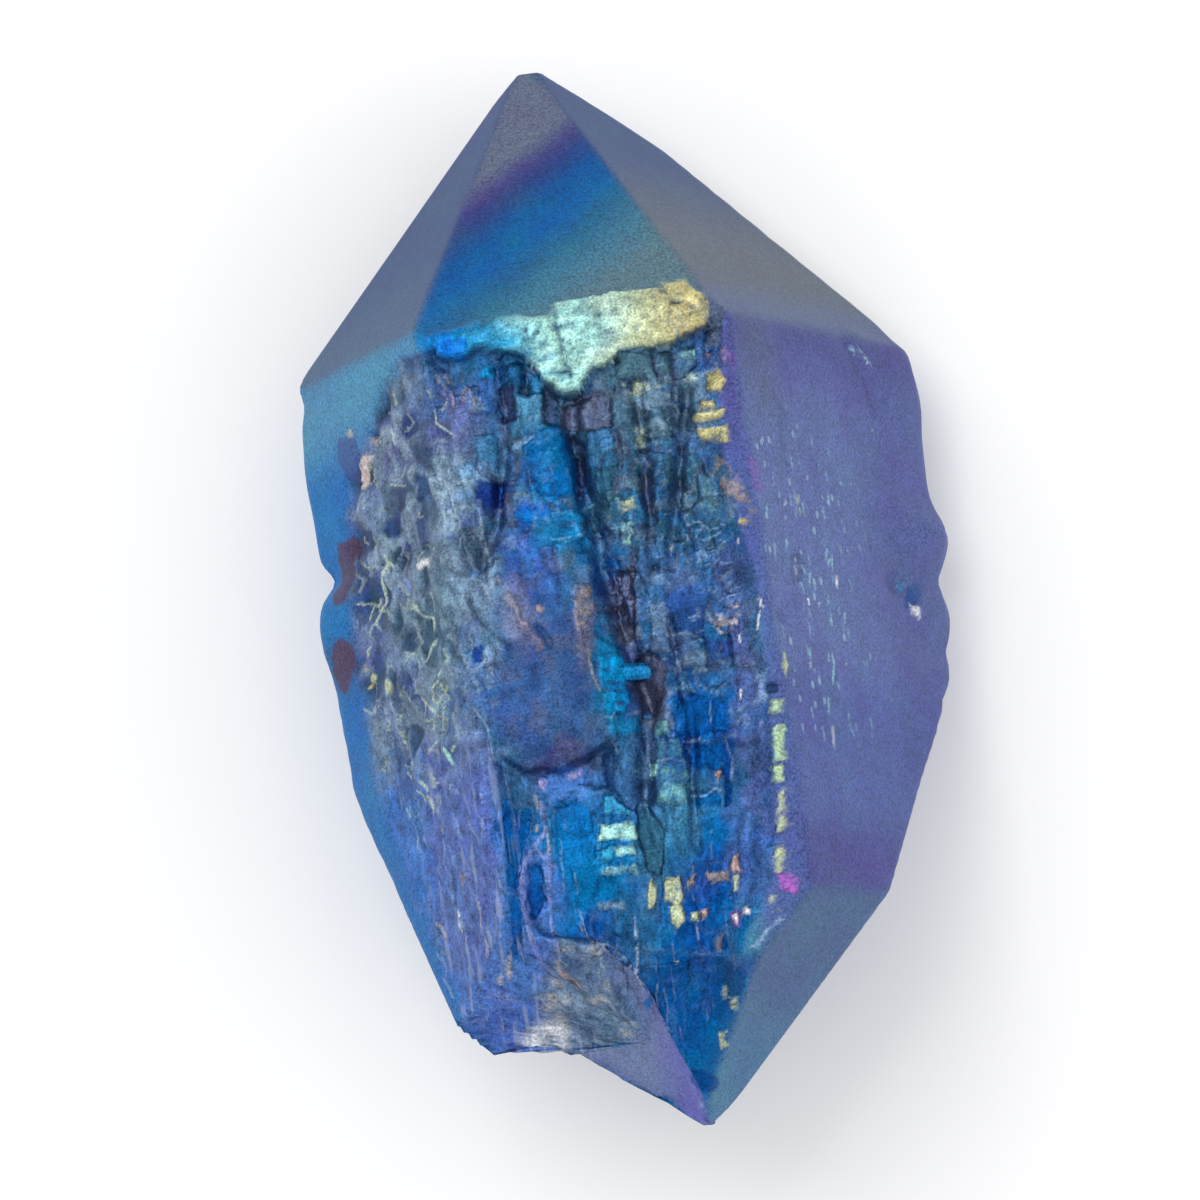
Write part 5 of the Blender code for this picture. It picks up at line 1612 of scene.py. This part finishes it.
def coating(crystal):
    """The coating: colours from the mesh, with mottling, dashes, streaks, grain and bump."""
    nodes = Nodes(bpy.data.materials.new("aura_coating"))
    coat = nodes.layer("coat")
    finish = nodes.parts(nodes.layer("finish"))
    marks = nodes.parts(nodes.layer("marks"))
    place = nodes.new("ShaderNodeTexCoord").outputs["Object"]

    def stretched(scale):
        """The place in the crystal, stretched for a pattern."""
        per_metre = [part / MM for part in scale]
        return nodes.new("ShaderNodeMapping", Vector=place, Scale=per_metre).outputs["Vector"]

    def fine_noise(scale, detail=2.0):
        """A fine noise from 0 to 1."""
        vector = stretched(scale)
        return nodes.new("ShaderNodeTexNoise", Vector=vector, Scale=1.0, Detail=detail).outputs["Fac"]

    def swing(value, strength):
        """A noise from 0 to 1 as a swing about 0."""
        return nodes.math("MULTIPLY", nodes.math("SUBTRACT", value, 0.5), strength)

    dots = nodes.new("ShaderNodeTexVoronoi", Vector=stretched(DASH_SCALE), Scale=1.0)
    chosen = nodes.rise(nodes.parts(dots.outputs["Color"])[0], 0.55, 0.6)
    dashes = nodes.math("MULTIPLY", nodes.rise(dots.outputs["Distance"], 0.26, 0.16), chosen)
    dashes = nodes.math("MULTIPLY", dashes, marks[1])
    lines = nodes.rise(fine_noise(STREAK_SCALE, 3.0), 0.54, 0.66)
    streaks = nodes.math("MULTIPLY", lines, marks[2])
    share = nodes.math("ADD", nodes.math("MULTIPLY", marks[0], MOTTLE_TONE[0]), MOTTLE_TONE[1])
    mottle = swing(fine_noise(MOTTLE_SCALE, 3.0), share)
    speck = fine_noise(SPECK_SCALE, 3.0)

    tone = nodes.math("ADD", nodes.math("ADD", swing(speck, SPECK_TONE), 1.0), mottle)
    hue = nodes.math("ADD", swing(fine_noise(DRIFT_SCALE), HUE_DRIFT), 0.5)
    colour = nodes.new("ShaderNodeHueSaturation", Hue=hue, Value=tone, Color=coat).outputs["Color"]
    for pattern, (strength, paint) in ((streaks, STREAK_PAINT), (dashes, DASH_PAINT)):
        colour = nodes.blend(nodes.math("MULTIPLY", pattern, strength), colour, paint)
    nodes.put(nodes.shader.inputs["Base Color"], colour)
    rough = nodes.math("ADD", finish[0], swing(speck, SPECK_ROUGHNESS))
    nodes.put(nodes.shader.inputs["Roughness"], rough)
    nodes.put(nodes.shader.inputs["Metallic"], finish[1])
    nodes.shader.inputs["Specular IOR Level"].default_value = GLOSS

    ripple = nodes.math("MULTIPLY", fine_noise(RIPPLE_SCALE), finish[2])
    height = nodes.math("MULTIPLY", speck, SPECK_BUMP)
    patterns = ((ripple, RIPPLE_BUMP), (mottle, MOTTLE_BUMP), (dashes, DASH_BUMP), (streaks, STREAK_BUMP))
    for pattern, rise in patterns:
        height = nodes.math("ADD", height, nodes.math("MULTIPLY", pattern, rise))
    bump = nodes.new(
        "ShaderNodeBump", Strength=BUMP_STRENGTH, Distance=BUMP_DEPTH * MM, Height=height)
    nodes.put(nodes.shader.inputs["Normal"], bump.outputs["Normal"])
    crystal.data.materials.append(nodes.material)


def make_floor():
    """A plain pale floor."""
    mesh = bpy.data.meshes.new("floor")
    corners = [(-1, -1), (1, -1), (1, 1), (-1, 1)]
    places = [(x * FLOOR_HALF, y * FLOOR_HALF, 0.0) for x, y in corners]
    mesh.from_pydata(places, [], [(0, 1, 2, 3)])
    floor = bpy.data.objects.new("floor", mesh)
    bpy.context.collection.objects.link(floor)
    nodes = Nodes(bpy.data.materials.new("floor_white"))
    nodes.shader.inputs["Base Color"].default_value = FLOOR_WHITE
    nodes.shader.inputs["Roughness"].default_value = FLOOR_ROUGHNESS
    mesh.materials.append(nodes.material)


def make_camera(shift):
    """A camera at the photograph's viewing angle."""
    across, upward, back = (Vector(axis) for axis in camera_axes())
    aim = Vector(AIM) + Vector(shift) + across * AIM_OFFSET[0] + upward * AIM_OFFSET[1]
    place = aim + back * CAMERA_DISTANCE
    data = bpy.data.cameras.new("camera")
    data.sensor_width = SENSOR
    data.lens = SENSOR * CAMERA_DISTANCE / FRAME_WIDTH
    data.clip_start = CLIP_START
    camera = bpy.data.objects.new("camera", data)
    turned = Matrix((across, upward, back)).transposed().to_4x4()
    camera.matrix_world = Matrix.Translation(place * MM) @ turned
    bpy.context.collection.objects.link(camera)
    bpy.context.scene.camera = camera


def area_light(name, place, size, power):
    """A soft square light that faces the crystal; place and size in metres."""
    data = bpy.data.lights.new(name, "AREA")
    data.shape = "SQUARE"
    data.size = size
    data.energy = power
    light = bpy.data.objects.new(name, data)
    light.location = place
    way = Vector(LIGHT_AIM) - Vector(place)
    light.rotation_euler = way.to_track_quat("-Z", "Y").to_euler()
    bpy.context.collection.objects.link(light)


def make_lights():
    """Plain soft studio light."""
    world = bpy.data.worlds.new("studio")
    world.use_nodes = True
    background = world.node_tree.nodes["Background"]
    background.inputs["Color"].default_value = (1.0, 1.0, 1.0, 1.0)
    background.inputs["Strength"].default_value = WORLD_STRENGTH
    bpy.context.scene.world = world
    for light in LIGHTS:
        area_light(*light)
    bpy.context.scene.view_settings.view_transform = "Standard"


crystal, crystal_shift = make_crystal()
coating(crystal)
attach(crystal, "root")
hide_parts(NODE)
make_floor()
make_camera(crystal_shift)
make_lights()
